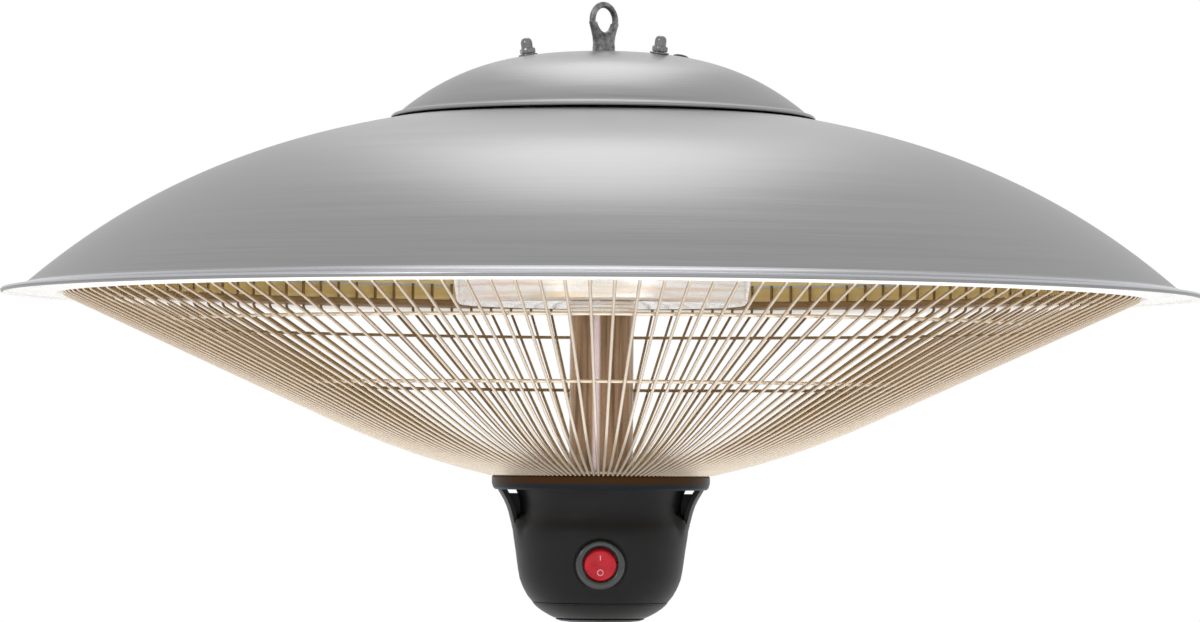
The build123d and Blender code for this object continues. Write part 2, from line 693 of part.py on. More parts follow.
def make_cage_parts():
    save("grille_wires", around(make_wire(), WIRE_COUNT))
    inside = WIRE_D / 2 + FIT_GAP
    save("grille_top_ring", make_ring(CAGE_TOP_R - inside, TOP_RING_Z, TOP_RING_D))
    save("grille_upper_ring", flank_ring(UPPER_RING_R))
    save("grille_lower_ring", flank_ring(LOWER_RING_R))
    save("grille_bottom_ring", make_ring(CAGE_END_R - inside, CAGE_END_Z, BOTTOM_RING_D))
    wall_r = corner_radius(CAGE_TOP_R + WIRE_D / 2 + SEAT_GAP) + CARRIER_WALL
    top = under(shade_path(), SHADE_WALL, wall_r) - SEAT_GAP
    path = [(wall_r, top), (wall_r, CARRIER_BOTTOM_Z + CARRIER_WALL * 1.5),
            (wall_r + CARRIER_WALL * 1.5, CARRIER_BOTTOM_Z + CARRIER_WALL * 0.8),
            (CARRIER_FLARE_R, CARRIER_BOTTOM_Z + CARRIER_FLARE_RISE)]
    save("grille_carrier", turned(path + offset_path(path, CARRIER_WALL)[::-1]))


# Housing


def shell_outer():
    """Outer face of the housing's round core, from the lid down, as (radius, height)."""
    radii = SHELL_RADII + (BOTTOM_EDGE_R,)
    drops = SHELL_DROPS + (SHELL_H,)
    return [(r, LID_BOTTOM_Z - d) for r, d in zip(radii, drops)]


def arm_outer():
    """Outer face of the two flared side arms, from the lid down to where they join the core."""
    return [(r, LID_BOTTOM_Z - d) for r, d in zip(ARM_RADII, ARM_DROPS)]


def wedges(half_angle):
    """Two upright wedges, one on each side, that reach past the housing."""
    reach, height = 2 * LID_R, 2 * SHELL_H
    side = reach * tan(radians(half_angle))
    wedge = Polyline((0, 0), (reach, -side), (reach, side), close=True)
    wedge = Pos(0, 0, LID_BOTTOM_Z - height) * extrude(make_face(wedge), height)
    return wedge + Rot(0, 0, 180) * wedge


def make_arms():
    """Two flared arms, each held off the core by a web down its middle."""
    sides = side_count(LID_R)
    path = arm_outer()
    band = turned(path + offset_path(path, ARM_WALL)[::-1], sides)
    middle = offset_path(path, ARM_WALL / 2)
    inner_r = shell_outer()[2][0] - SHELL_WALL / 2
    web = turned(middle[1:] + [(inner_r, middle[-1][1]), (inner_r, middle[1][1])], sides)
    return (band & wedges(ARM_HALF_ANGLE)) + (web & wedges(WEB_HALF_ANGLE))


def make_shell():
    outer = shell_outer()
    sides = side_count(LID_R)
    top_z, bottom_z = outer[0][1], outer[-1][1]
    core = turned(outer + [(0, bottom_z), (0, top_z)], sides)
    throat = outer[2][0] - SHELL_WALL
    hollow = turned([(outer[0][0] - SHELL_WALL, top_z), (throat, outer[2][1]),
                     (throat, outer[-2][1]), (outer[-1][0] - SHELL_WALL, bottom_z),
                     (0, bottom_z), (0, top_z)], sides)
    boss = facing(RECESS_R + SHELL_WALL, RECESS_FLOOR - RECESS_WALL, LID_R)
    recess = facing(RECESS_R, RECESS_FLOOR, LID_R)
    hole = facing(SWITCH_BARREL_R + SWITCH_HOLE_CLEARANCE, 0, LID_R)
    return core + make_arms() - (hollow - boss) - recess - hole


def facing(radius, near, far):
    """A round bar along -Y at the switch's height, from y = -near out to y = -far."""
    return Pos(0, -near, SWITCH_Z) * Rot(90, 0, 0) * rod(radius, 0, far - near, SWITCH_SIDES)


def make_lid():
    mid_z = (LID_TOP_Z + LID_BOTTOM_Z) / 2
    ceiling = LID_TOP_Z - LID_TOP_WALL
    column_hole = COLUMN_R + HOLE_CLEARANCE
    lid = turned([(column_hole, LID_TOP_Z), (LID_EDGE_R, LID_TOP_Z), (LID_R, mid_z),
                  (LID_EDGE_R, LID_BOTTOM_Z), (LID_POCKET_R, LID_BOTTOM_Z),
                  (LID_POCKET_R, ceiling), (column_hole, ceiling)])
    return lid - flange_holes()


def make_bottom():
    top_z = SHELL_BOTTOM_Z - SEAM_GAP
    foot_z = top_z - BOTTOM_H
    edge_r = BOTTOM_EDGE_R - SEAM_GAP
    outer = [(edge_r, top_z), (edge_r - 3.2, top_z - 2.9), (edge_r - 6.7, top_z - 5.4),
             (BOTTOM_FOOT_R, foot_z)]
    floor_z = foot_z + BOTTOM_WALL
    inner = [(0, foot_z), (0, floor_z), (BOTTOM_FOOT_R - 1, floor_z),
             (edge_r - BOTTOM_WALL, top_z)]
    return turned(outer + inner, side_count(LID_R))


def make_housing_parts():
    save("housing_lid", make_lid())
    save("housing_shell", make_shell())
    save("housing_bottom", make_bottom())
    foot_z = SHELL_BOTTOM_Z - SEAM_GAP - BOTTOM_H
    low = foot_z - END_CAP_H
    cap = [(0, foot_z), (END_CAP_R, foot_z), (END_CAP_R, low + END_CAP_CHAMFER),
           (END_CAP_R - END_CAP_CHAMFER, low), (0, low)]
    save("bottom_cap", turned(cap, side_count(LID_R)))


# Rocker switch


def make_switch_body():
    """A barrel with a bezel, turned about the way it faces, with a well for the rocker."""
    well = BEZEL_H - ROCKER_BORE_L
    outline = [(0, -SWITCH_BARREL_L), (SWITCH_BARREL_R, -SWITCH_BARREL_L), (SWITCH_BARREL_R, 0),
               (BEZEL_R, 0), (BEZEL_R, BEZEL_H - BEZEL_CHAMFER), (BEZEL_R - BEZEL_CHAMFER, BEZEL_H),
               (ROCKER_BORE_R, BEZEL_H), (ROCKER_BORE_R, well), (0, well)]
    body = Pos(0, -RECESS_FLOOR, SWITCH_Z) * Rot(90, 0, 0) * turned(outline, SWITCH_SIDES)
    return body - trunnion(TRUNNION_R + TRUNNION_CLEARANCE, SWITCH_BARREL_R * 2)


def trunnion(radius, half_length):
    """A true round pin along the rocker's pivot."""
    return Pos(0, ROCKER_Y, SWITCH_Z) * Rot(0, 90, 0) * Cylinder(radius, 2 * half_length)


def make_rocker():
    """A round rocker with a shallow vee face, tilted to its off position."""
    waist_r = ROCKER_BORE_R * cos(pi / SWITCH_SIDES) - ROCKER_CLEARANCE
    front_r, back_r = waist_r - ROCKER_EDGE, waist_r - ROCKER_EDGE
    barrel = turned([(0, -ROCKER_BACK), (back_r, -ROCKER_BACK), (waist_r, 0),
                     (front_r, ROCKER_FACE + ROCKER_EDGE), (0, ROCKER_FACE + ROCKER_EDGE)],
                    SWITCH_SIDES)
    rocker = Rot(90, 0, 0) * barrel
    size = 4 * waist_r
    for side in (1, -1):
        block = Pos(0, -size / 2, side * size / 2) * Box(size, size, size)
        rocker -= Pos(0, -ROCKER_FACE, 0) * Rot(side * ROCKER_VEE, 0, 0) * block
    placed = Pos(0, ROCKER_Y, SWITCH_Z) * Rot(ROCKER_TILT, 0, 0) * rocker
    return placed + trunnion(TRUNNION_R, TRUNNION_TIP)


def make_switch_parts():
    save("switch_body", make_switch_body())
    save("switch_rocker", make_rocker())
    back = -(RECESS_FLOOR - SWITCH_BARREL_L)
    width, length, thickness = SPADE_SIZE
    spades = []
    for i in range(SPADE_COUNT):
        z = SWITCH_Z + (i - (SPADE_COUNT - 1) / 2) * SPADE_PITCH
        spades.append(Pos(0, back + length / 2, z) * Box(width, length, thickness))
    save("switch_terminals", spades)


save("eye_nut", make_eye_nut())
make_rod_parts()
make_cap_parts()
make_gland_parts()
save("terminal_block", make_terminal_block())
make_body_parts()
make_lamp_parts()
make_column_parts()
make_cage_parts()
make_housing_parts()
make_switch_parts()
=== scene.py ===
import json
from math import atan2, cos, hypot, pi, radians, sin, tan

import bmesh
import bpy
from mathutils import Matrix, Vector


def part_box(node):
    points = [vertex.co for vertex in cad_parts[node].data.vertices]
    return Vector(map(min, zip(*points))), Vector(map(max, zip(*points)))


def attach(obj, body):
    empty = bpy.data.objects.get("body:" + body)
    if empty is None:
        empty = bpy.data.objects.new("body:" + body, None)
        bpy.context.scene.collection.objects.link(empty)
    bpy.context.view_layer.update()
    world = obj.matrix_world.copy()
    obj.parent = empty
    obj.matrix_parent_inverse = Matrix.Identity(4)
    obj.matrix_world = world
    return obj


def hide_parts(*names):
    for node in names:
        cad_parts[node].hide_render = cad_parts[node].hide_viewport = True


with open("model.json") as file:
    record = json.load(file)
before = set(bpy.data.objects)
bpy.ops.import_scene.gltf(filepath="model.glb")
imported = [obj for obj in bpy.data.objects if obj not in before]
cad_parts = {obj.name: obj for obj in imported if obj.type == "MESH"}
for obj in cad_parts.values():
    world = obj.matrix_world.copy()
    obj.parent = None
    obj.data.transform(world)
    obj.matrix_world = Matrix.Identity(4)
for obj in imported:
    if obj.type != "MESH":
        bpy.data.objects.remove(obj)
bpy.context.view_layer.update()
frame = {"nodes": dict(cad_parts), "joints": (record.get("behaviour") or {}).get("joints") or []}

# Lengths are in millimetres, except in the studio, and every mesh is scaled to metres when it
# is made.
MM = 0.001

# Camera, from the photograph: its distance from the hanging axis, its height, the
# scale on that axis and the picture's centre and horizon
PHOTO_WIDTH, PHOTO_HEIGHT = 1200, 622
CAMERA_DISTANCE = 2450.0
PIXELS_PER_MM = 1.993
HORIZON_Y = 454.0
EYE_Y = 20.1
AXIS_X = 602.0
CAMERA_ROLL = 0.38

# Steps round a turned piece, and how close two points are welded
FINE = 288
MEDIUM = 192
COARSE = 96
WELD = 0.004


def top(node):
    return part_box(node)[1].z / MM


def bottom(node):
    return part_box(node)[0].z / MM


def reach(node):
    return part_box(node)[1].x / MM


# Sizes read from the frame
SHADE_R = reach("shade")
SHADE_TOP = top("shade")
SHADE_LOW = bottom("shade")
CAP_TOP = top("top_cap")
CAP_LOW = bottom("top_cap")
CAP_R = reach("top_cap")
COLUMN_R = reach("centre_column")
COLUMN_TOP, COLUMN_LOW = top("centre_column"), bottom("centre_column")
HUB_TOP, HUB_LOW = top("hub_cover"), bottom("hub_cover")
LID_R, LID_TOP, LID_LOW = reach("housing_lid"), top("housing_lid"), bottom("housing_lid")
BOTTOM_TOP, BOTTOM_LOW = top("housing_bottom"), bottom("housing_bottom")
END_R, END_TOP, END_LOW = reach("bottom_cap"), top("bottom_cap"), bottom("bottom_cap")
LAMP_MIDDLE = (top("lamp_tubes") + bottom("lamp_tubes")) / 2
SWITCH_Z = (top("switch_body") + bottom("switch_body")) / 2
BEZEL_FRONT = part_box("switch_body")[0].y / MM
PIVOT = [c / MM for c in frame["joints"][0]["pos_m"]]

# Shapes of the turned sheets
SHEET_WALL = 0.8
ROD_HOLE_R = 3.3
SHADE_KINK_R = 286.7
SHADE_DROP = 92.2
SHADE_ROUNDNESS = 0.653
BEAD_R = 1.25
FLARE_CURVE = 1.9
CAP_CREASE_R = 101.3
CAP_DROP = 29.8
CAP_ROUNDNESS = 0.19
CAP_PAD_R = 10.0

# Hanging eye: its ring, the fan below it as half widths and heights over the collar, and the
# cone-shaped notch that opens the fan towards the hole
EYE_HOLE_R = 6.45
EYE_WIRE_R = 1.6
EYE_TURN = 45.0
EYE_COLLAR_R = 5.65
EYE_COLLAR_TOP_R = 5.1
EYE_COLLAR_H = 4.2
EYE_FAN = ((5.6, 5.4, -0.8), (5.8, 5.2, 1.2), (6.8, 4.6, 4.2), (8.4, 3.9, 7.4), (9.7, 3.2, 9.8),
           (10.3, 2.7, 11.2))
NOTCH_MOUTH_R = 11.5
NOTCH_HALF = 9
NOTCH_LAND = 1.4
NOTCH_RISE = 0.6
EYE_VOXEL = 0.22

# Fittings on the cap
STUD_CIRCLE_R = 39.1
STUD_ANGLES = (195.0, 315.0)
STUD_R = 2.1
WASHER_R = 4.8
WASHER_H = 0.9
NUT_ACROSS = 7.0
NUT_CORNER_R = 4.2
NUT_DOME_R = 2.92
NUT_SHOULDER_H = 5.4
NUT_CROWN_H = 2.7
NUT_H = 8.1
GLAND_CIRCLE_R = 54.0
GLAND_ANGLE = 45.0
GLAND_BORE_R = 3.1
GLAND_NECK_R = 4.8
GLAND_NECK_L = 8.0
GLAND_FOOT_R = 6.0
GLAND_WAIST_R = 5.1
SEAT = 0.05

# Reflector, hub and column
DISH_FLAT_R = 205.0
DISH_BEND_R = 18.0
HUB_TOP_R = 82.0
HUB_LOW_R = 72.9
HUB_FOOT_R = 71.4
COLUMN_WALL = 1.2
COLUMN_CLEARANCE = 0.3
COLLAR_R = 17.0
GROOVE_R = 16.3
GROOVE_HALF = 0.4

# Lamps
LAMP_COUNT = 3
LAMP_OFFSET = 128.0
LAMP_HALF_L = 125.0
LAMP_R = 5.0
LAMP_BORE_R = 4.0
COIL_TURNS = 60
COIL_SIDES = 8
COIL_R = 0.62
COIL_WIRE_R = 0.22
COIL_MARGIN = 14
LEAD_R = 0.35
LEAD_MARGIN = 0.2

# Painted reflections: the height where the carrier's painted gold reflection ends, and where the painted
# highlight band runs down the column
PAINTED_GOLD_LOW_Z = -132.0
PAINTED_HIGHLIGHT_X = 2.6

# Cage
WIRE_COUNT = 150
WIRE_R = 0.78
RING_R = 0.86
CAGE_TOP_R = 269.6
CAGE_SHOULDER_Z = -139.4
CAGE_SLOPE = 0.457
CAGE_FLATTEN_R = 135.4
CAGE_FLATTEN = 14.74
CAGE_END_R = 55.4
CAGE_BEND_R = 4.0
CAGE_FLANK_RADII = (200.0, 165.0, 136.0, 122.0, 108.0, 94.0, 80.0, 68.0, CAGE_END_R)
BEND_STEP_R = 240.0
TOP_RING_SINK = 5.0
CARRIER_WALL_R = 272.4
CARRIER_LIP = ((0.0, 3.0), (0.6, 1.6), (1.7, 0.8), (3.0, 1.2))

# Housing: profiles as radii and drops below the lid or the seam, and how far the core swells
# towards the arms
HOUSING_WALL = 2.2
LID_POCKET_R = 40.0
SHELL_PROFILE = ((42.6, 0.0), (41.7, 2.2), (40.8, 4.8), (40.2, 8.0), (40.1, 11.6), (40.7, 15.0),
                 (42.0, 17.6), (43.2, 20.4), (43.5, 23.2), (43.2, 26.6), (42.5, 31.0), (41.9, 35.6),
                 (41.2, 40.5), (40.4, 44.6), (39.4, 47.4), (38.2, 50.0), (36.4, 53.2), (34.0, 56.1))
SHELL_SWELL = ((15.0, 3.7), (17.6, 2.75), (20.4, 0.85), (23.2, 0.2))
SWELL_START = 0.89
SWELL_SPAN = 0.06
ARM_PROFILE = ((51.8, 0.0), (50.2, 2.6), (48.8, 5.0), (47.4, 8.0), (46.3, 11.2), (45.5, 14.4),
               (44.9, 16.8), (44.0, 18.6), (42.8, 20.6))
ARM_WALL = 2.0
BOWL_PROFILE = ((33.9, 0.0), (33.0, 1.2), (31.0, 3.0), (28.4, 4.8), (25.6, 6.4))
BOWL_FOOT_R = 22.9
ARM_HALF_ANGLE = 17.0
WEB_INSET = 1.3
WEB_INNER_R = 38.0
WEB_HALF_ANGLE = 3.5

# Switch: distances from the axis to the boss, the recess and the hole, and their sizes
BOSS_Y, BOSS_R, BOSS_L = 34.6, 15.3, 12
RECESS_Y, RECESS_R = 38.6, 13.3
SWITCH_HOLE_Y, SWITCH_HOLE_R = 30.6, 10.1
CUT_L = 14
BEZEL_R = 12.3
BEZEL_H = 2.4
BEZEL_LIP = ((12.3, 1.5), (11.9, 0.6), (11.0, 0.05), (10.0, 0.0), (9.2, 0.3), (8.7, 0.9), (8.5, 1.6))
WELL_R = 8.5
BARREL_R = 9.95
BARREL_L = 18.6
WELL_DEPTH = 9.6
PIN_BORE_R = 1.26
PIN_R = 1.2
PIN_HALF_L = 9.8
ROCKER_FACE = 3.2
ROCKER_BACK = 4.0
ROCKER_R = 8.25
ROCKER_CROWN = 0.7
ROCKER_VEE = 8.0
ROCKER_TILT = 10.0
ROCKER_BEVEL = 0.35

# Marks on the rocker
MARK_SINK = 0.03
MARK_H = 0.08
ON_HEIGHT, ON_HALF_WIDTH, ON_HALF_L = 3.9, 0.24, 1.3
OFF_HEIGHT, OFF_INNER_R, OFF_OUTER_R = 3.5, 1.15, 1.6

# Studio: the floor in metres, and the white room's strength as light and where it is seen
FLOOR_Z = -0.62
FLOOR_HALF = 4.0
AMBIENT = 0.95
BACKDROP = 1.0


# Mesh helpers


def clean(mesh):
    """Welds a mesh's doubled points and turns its faces outward."""
    work = bmesh.new()
    work.from_mesh(mesh)
    bmesh.ops.remove_doubles(work, verts=work.verts, dist=WELD * MM)
    bmesh.ops.recalc_face_normals(work, faces=work.faces)
    work.to_mesh(mesh)
    work.free()


def link(name, shape, material, nodes, sharp, body="heater"):
    """Puts a mesh, or a (points, faces) pair, in the scene as a finished piece of a body."""
    mesh = to_mesh(name, *shape) if isinstance(shape, tuple) else shape
    clean(mesh)
    mesh.shade_smooth()
    mesh.set_sharp_from_angle(angle=radians(sharp))
    mesh.materials.clear()
    for m in material if isinstance(material, list) else [material]:
        mesh.materials.append(m)
    piece = bpy.data.objects.new(name, mesh)
    bpy.context.scene.collection.objects.link(piece)
    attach(piece, body)
    if nodes:
        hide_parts(*nodes)
    return piece


def to_mesh(name, points, faces):
    """A mesh in metres, from points in millimetres."""
    mesh = bpy.data.meshes.new(name)
    mesh.from_pydata([(x * MM, y * MM, z * MM) for x, y, z in points], [], faces)
    return mesh


def merge(parts):
    """Joins (points, faces) pairs into one."""
    points, faces = [], []
    for p, f in parts:
        shift = len(points)
        points += p
        faces += [[i + shift for i in face] for face in f]
    return points, faces


def placed(part, matrix):
    """The part moved by a matrix."""
    points, faces = part
    return [tuple(matrix @ Vector(p)) for p in points], faces


def lathe(outline, steps=FINE, start=0.0, arc=360.0):
    """A closed outline of (radius, height) points turned about Z, with flat ends if the arc is open."""
    full = arc >= 360
    rows = steps if full else steps + 1
    count = len(outline)
    points, faces = [], []
    for i in range(rows):
        turn = radians(start + arc * i / steps)
        points += [(r * cos(turn), r * sin(turn), z) for r, z in outline]
    for i in range(steps):
        a, b = i * count, ((i + 1) % rows) * count
        for k in range(count):
            m = (k + 1) % count
            if outline[k][0] == 0 and outline[m][0] == 0:
                continue
            faces.append([a + k, b + k, b + m, a + m])
    if not full:
        faces.append(list(range(count)))
        faces.append([steps * count + k for k in reversed(range(count))])
    return points, faces


def soften(outline, radius, closed=True, steps=4):
    """The outline with its corners rounded."""
    out = []
    count = len(outline)
    for i, here in enumerate(outline):
        if not closed and i in (0, count - 1):
            out.append(here)
            continue
        before, after = outline[i - 1], outline[(i + 1) % count]
        u = Vector((before[0] - here[0], before[1] - here[1]))
        v = Vector((after[0] - here[0], after[1] - here[1]))
        corner = u.angle(v) if u.length and v.length else pi
        if corner > radians(172) or (here[0] == 0 and closed):
            out.append(here)
            continue
        cut = min(radius / tan(corner / 2), 0.45 * u.length, 0.45 * v.length)
        a = Vector(here) + u.normalized() * cut
        b = Vector(here) + v.normalized() * cut
        for k in range(steps + 1):
            t = k / steps
            p = a * (1 - t) ** 2 + Vector(here) * 2 * t * (1 - t) + b * t**2
            out.append((p.x, p.y))
    return out


def side_step(path, distance):
    """The path moved to the right of its travel."""
    moved = []
    for i, (x, y) in enumerate(path):
        x0, y0 = path[max(i - 1, 0)]
        x1, y1 = path[min(i + 1, len(path) - 1)]
        long = hypot(x1 - x0, y1 - y0)
        moved.append((x + (y1 - y0) / long * distance, y - (x1 - x0) / long * distance))
    return moved


def tube(path, radius, sides=10, closed=False):
    """A round tube along a path of points."""
    spots = [Vector(p) for p in path]
    count = len(spots)
    up = Vector((0, 0, 1))
    points, faces = [], []
    side = None
    for i, spot in enumerate(spots):
        before = spots[i - 1] if closed or i else spots[i]
        after = spots[(i + 1) % count] if closed or i < count - 1 else spots[i]
        along = (after - before).normalized()
        side = (side or (Vector((0, 1, 0)) if abs(along.y) < 0.9 else up))
        side = (side - along * side.dot(along)).normalized()
        other = along.cross(side)
        for k in range(sides):
            turn = 2 * pi * k / sides
            points.append(tuple(spot + side * cos(turn) * radius + other * sin(turn) * radius))
    for i in range(count if closed else count - 1):
        a, b = i * sides, ((i + 1) % count) * sides
        for k in range(sides):
            m = (k + 1) % sides
            faces.append([a + k, a + m, b + m, b + k])
    if not closed:
        faces.append(list(reversed(range(sides))))
        faces.append([(count - 1) * sides + k for k in range(sides)])
    return points, faces


def around(part, count):
    """Copies of the part, evenly spaced about Z."""
    return merge([placed(part, Matrix.Rotation(radians(360 * i / count), 4, "Z")) for i in range(count)])


def hex_lathe(outline, across):
    """A turned outline whose radius is held within a hexagon."""
    points, faces = lathe(outline, COARSE)
    held = []
    for x, y, z in points:
        r, turn = hypot(x, y), atan2(y, x)
        limit = across / 2 / cos((turn + pi / 6) % (pi / 3) - pi / 6)
        scale = min(1.0, limit / r) if r else 1.0
        held.append((x * scale, y * scale, z))
    return held, faces


def apply_modifiers(piece):
    """Bakes a piece's modifiers into its mesh."""
    graph = bpy.context.evaluated_depsgraph_get()
    mesh = bpy.data.meshes.new_from_object(piece.evaluated_get(graph))
    piece.modifiers.clear()
    piece.data = mesh


def loose(name, part):
    """An object that is only used to cut or join others, and is removed afterwards."""
    mesh = to_mesh(name, *part)
    clean(mesh)
    piece = bpy.data.objects.new(name, mesh)
    bpy.context.scene.collection.objects.link(piece)
    return piece


def taken_mesh(piece):
    """The mesh of a loose object, which is removed."""
    mesh = piece.data
    bpy.data.objects.remove(piece)
    return mesh


def taken_part(piece):
    """The points, in metres, and the faces of a loose object, which is removed."""
    points = [v.co.copy() for v in piece.data.vertices]
    faces = [list(p.vertices) for p in piece.data.polygons]
    bpy.data.objects.remove(piece)
    return points, faces


def combine(base, tools, operation):
    """Joins or cuts the base with each tool, and removes the tools."""
    for tool in tools:
        step = base.modifiers.new("combine", "BOOLEAN")
        step.operation = operation
        step.object = tool
        step.solver = "EXACT"
    apply_modifiers(base)
    for tool in tools:
        bpy.data.objects.remove(tool)
    return base


# Material helpers


def principled(name, colour, roughness, metallic=0.0, **values):
    """A new material with its shader's own sockets set, returned with its node tree and shader."""
    material = bpy.data.materials.new(name)
    material.use_nodes = True
    tree = material.node_tree
    shader = tree.nodes["Principled BSDF"]
    shader.inputs["Base Color"].default_value = (*colour, 1)
    shader.inputs["Roughness"].default_value = roughness
    shader.inputs["Metallic"].default_value = metallic
    for socket, value in values.items():
        shader.inputs[socket.replace("_", " ")].default_value = value
    material.diffuse_color = (*colour, 1)
    return material, tree, shader


def node(tree, kind, **values):
    made = tree.nodes.new(kind)
    for name, value in values.items():
        setattr(made, name, value)
    return made


def maths(tree, operation, a, b=None):
    made = node(tree, "ShaderNodeMath", operation=operation)
    for socket, value in zip(made.inputs, (a, b)):
        if value is None:
            continue
        if isinstance(value, (int, float)):
            socket.default_value = value
        else:
            tree.links.new(value, socket)
    return made.outputs[0]


def turned_coordinates(tree, across, along):
    """Coordinates that follow a turned piece: fine across its radius and height, slow round it."""
    place = node(tree, "ShaderNodeTexCoord").outputs["Object"]
    parts = node(tree, "ShaderNodeSeparateXYZ")
    tree.links.new(place, parts.inputs[0])
    x, y, z = parts.outputs
    radius = maths(tree, "SQRT", maths(tree, "ADD", maths(tree, "MULTIPLY", x, x),
                                       maths(tree, "MULTIPLY", y, y)))
    turn = maths(tree, "ARCTAN2", y, x)
    joined = node(tree, "ShaderNodeCombineXYZ")
    tree.links.new(maths(tree, "MULTIPLY", radius, across), joined.inputs[0])
    tree.links.new(maths(tree, "MULTIPLY", z, across), joined.inputs[1])
    tree.links.new(maths(tree, "MULTIPLY", maths(tree, "COSINE", turn), along), joined.inputs[2])
    return joined.outputs[0]


def noise(tree, vector, scale, detail=3.0, roughness=0.55):
    made = node(tree, "ShaderNodeTexNoise")
    for name, number in (("Scale", scale), ("Detail", detail), ("Roughness", roughness)):
        made.inputs[name].default_value = number
    tree.links.new(vector, made.inputs["Vector"])
    return made.outputs["Fac"]


def object_place(tree):
    return node(tree, "ShaderNodeTexCoord").outputs["Object"]


def spread(tree, value, low, high, start=0.3, stop=0.7):
    """A value between start and stop, stretched to lie between low and high."""
    made = node(tree, "ShaderNodeMapRange")
    tree.links.new(value, made.inputs["Value"])
    for name, number in (("From Min", start), ("From Max", stop), ("To Min", low), ("To Max", high)):
        made.inputs[name].default_value = number
    return made.outputs["Result"]


def tint(tree, value, dark, light):
    """A colour between dark and light, chosen by a value from 0 to 1."""
    made = node(tree, "ShaderNodeMix", data_type="RGBA")
    tree.links.new(value, made.inputs["Factor"])
    made.inputs["A"].default_value = (*dark, 1)
    made.inputs["B"].default_value = (*light, 1)
    return next(o for o in made.outputs if o.type == "RGBA")


def bump(tree, shader, height, strength, distance=0.05):
    made = node(tree, "ShaderNodeBump")
    made.inputs["Strength"].default_value = strength
    made.inputs["Distance"].default_value = distance * MM
    tree.links.new(height, made.inputs["Height"])
    tree.links.new(made.outputs[0], shader.inputs["Normal"])


def set_sockets(tree, shader, **links):
    for name, output in links.items():
        tree.links.new(output, shader.inputs[name.replace("_", " ")])


def shade_of(colour, factor):
    return tuple(min(1.0, c * factor) for c in colour)


def mottled(tree, value, colour, dark, light, start=0.3, stop=0.7):
    """The colour between a darker and a lighter shade of itself, as the value says."""
    return tint(tree, spread(tree, value, 0, 1, start, stop), shade_of(colour, dark),
                shade_of(colour, light))


# Materials


def brushed_steel():
    """Stainless sheet, brushed in circles round the hanging axis."""
    colour = (0.285, 0.285, 0.285)
    material, tree, shader = principled("brushed_stainless", colour, 0.34, 1.0, Anisotropic=0.7)
    fine = noise(tree, turned_coordinates(tree, 1500, 3.0), 1.0, 2.0)
    broad = noise(tree, turned_coordinates(tree, 160, 1.2), 1.0, 3.0)
    mixed = maths(tree, "ADD", maths(tree, "MULTIPLY", fine, 0.55), maths(tree, "MULTIPLY", broad, 0.45))
    set_sockets(tree, shader, Base_Color=mottled(tree, mixed, colour, 0.90, 1.08, 0.35, 0.65),
                Roughness=spread(tree, mixed, 0.29, 0.39))
    round_axis = node(tree, "ShaderNodeTangent", direction_type="RADIAL", axis="Z")
    set_sockets(tree, shader, Tangent=round_axis.outputs[0])
    bump(tree, shader, fine, 0.05)
    return material


def polished(name, colour, roughness, streak=0.06, metallic=1.0):
    """Bright turned metal with faint lines round it."""
    material, tree, shader = principled(name, colour, roughness, metallic)
    lines = noise(tree, turned_coordinates(tree, 420, 1.6), 1.0, 3.0)
    set_sockets(tree, shader,
                Base_Color=mottled(tree, lines, colour, 1 - streak, 1 + streak, 0.35, 0.65),
                Roughness=spread(tree, lines, roughness * 0.8, roughness * 1.3))
    return material


def streaked_hub():
    """Polished sheet with soft pink and straw streaks of heat tint round it."""
    pale, straw, pink = (0.88, 0.87, 0.84), (0.74, 0.60, 0.38), (0.82, 0.62, 0.52)
    material, tree, shader = principled("polished_hub", pale, 0.14, 0.85)
    fine = noise(tree, turned_coordinates(tree, 420, 1.6), 1.0, 3.0)
    broad = noise(tree, turned_coordinates(tree, 210, 0.9), 1.0, 2.0)
    stain = tint(tree, spread(tree, broad, 0, 1, 0.42, 0.58), straw, pink)
    mixed = tint(tree, spread(tree, fine, 0.0, 0.9, 0.44, 0.66), pale, straw)
    tree.links.new(stain, mixed.node.inputs["B"])
    set_sockets(tree, shader, Base_Color=mixed, Roughness=spread(tree, fine, 0.10, 0.18))
    return material


def painted_reflection_tube():
    """Polished tube whose colour carries painted reflections: upright dark brown bands and one pale painted
    highlight band.
    """
    dark, light, clean = (0.13, 0.080, 0.042), (0.44, 0.28, 0.17), (0.86, 0.70, 0.74)
    material, tree, shader = principled("polished_column", light, 0.14, 1.0)
    parts = node(tree, "ShaderNodeSeparateXYZ")
    tree.links.new(object_place(tree), parts.inputs[0])
    x, y, z = parts.outputs
    joined = node(tree, "ShaderNodeCombineXYZ")
    for socket, output, rate in zip(joined.inputs, (x, y, z), (190, 190, 9)):
        tree.links.new(maths(tree, "MULTIPLY", output, rate), socket)
    bands = noise(tree, joined.outputs[0], 1.0, 4.0, 0.6)
    # Painted highlight: a pale band in the colour clean runs down the column, centred a little to the left
    # of the axis.
    aside = maths(tree, "ABSOLUTE", maths(tree, "ADD", x, PAINTED_HIGHLIGHT_X * MM))
    band = spread(tree, aside, 1, 0, 0.9 * MM, 2.2 * MM)
    # Painted reflection: upright dark brown bands over the rest of the tube.
    painted_reflection_bands = tint(tree, spread(tree, bands, 0, 1, 0.36, 0.62), dark, light)
    mixed = tint(tree, band, dark, clean)
    tree.links.new(painted_reflection_bands, mixed.node.inputs["A"])
    set_sockets(tree, shader, Base_Color=mixed, Roughness=spread(tree, bands, 0.10, 0.24))
    return material


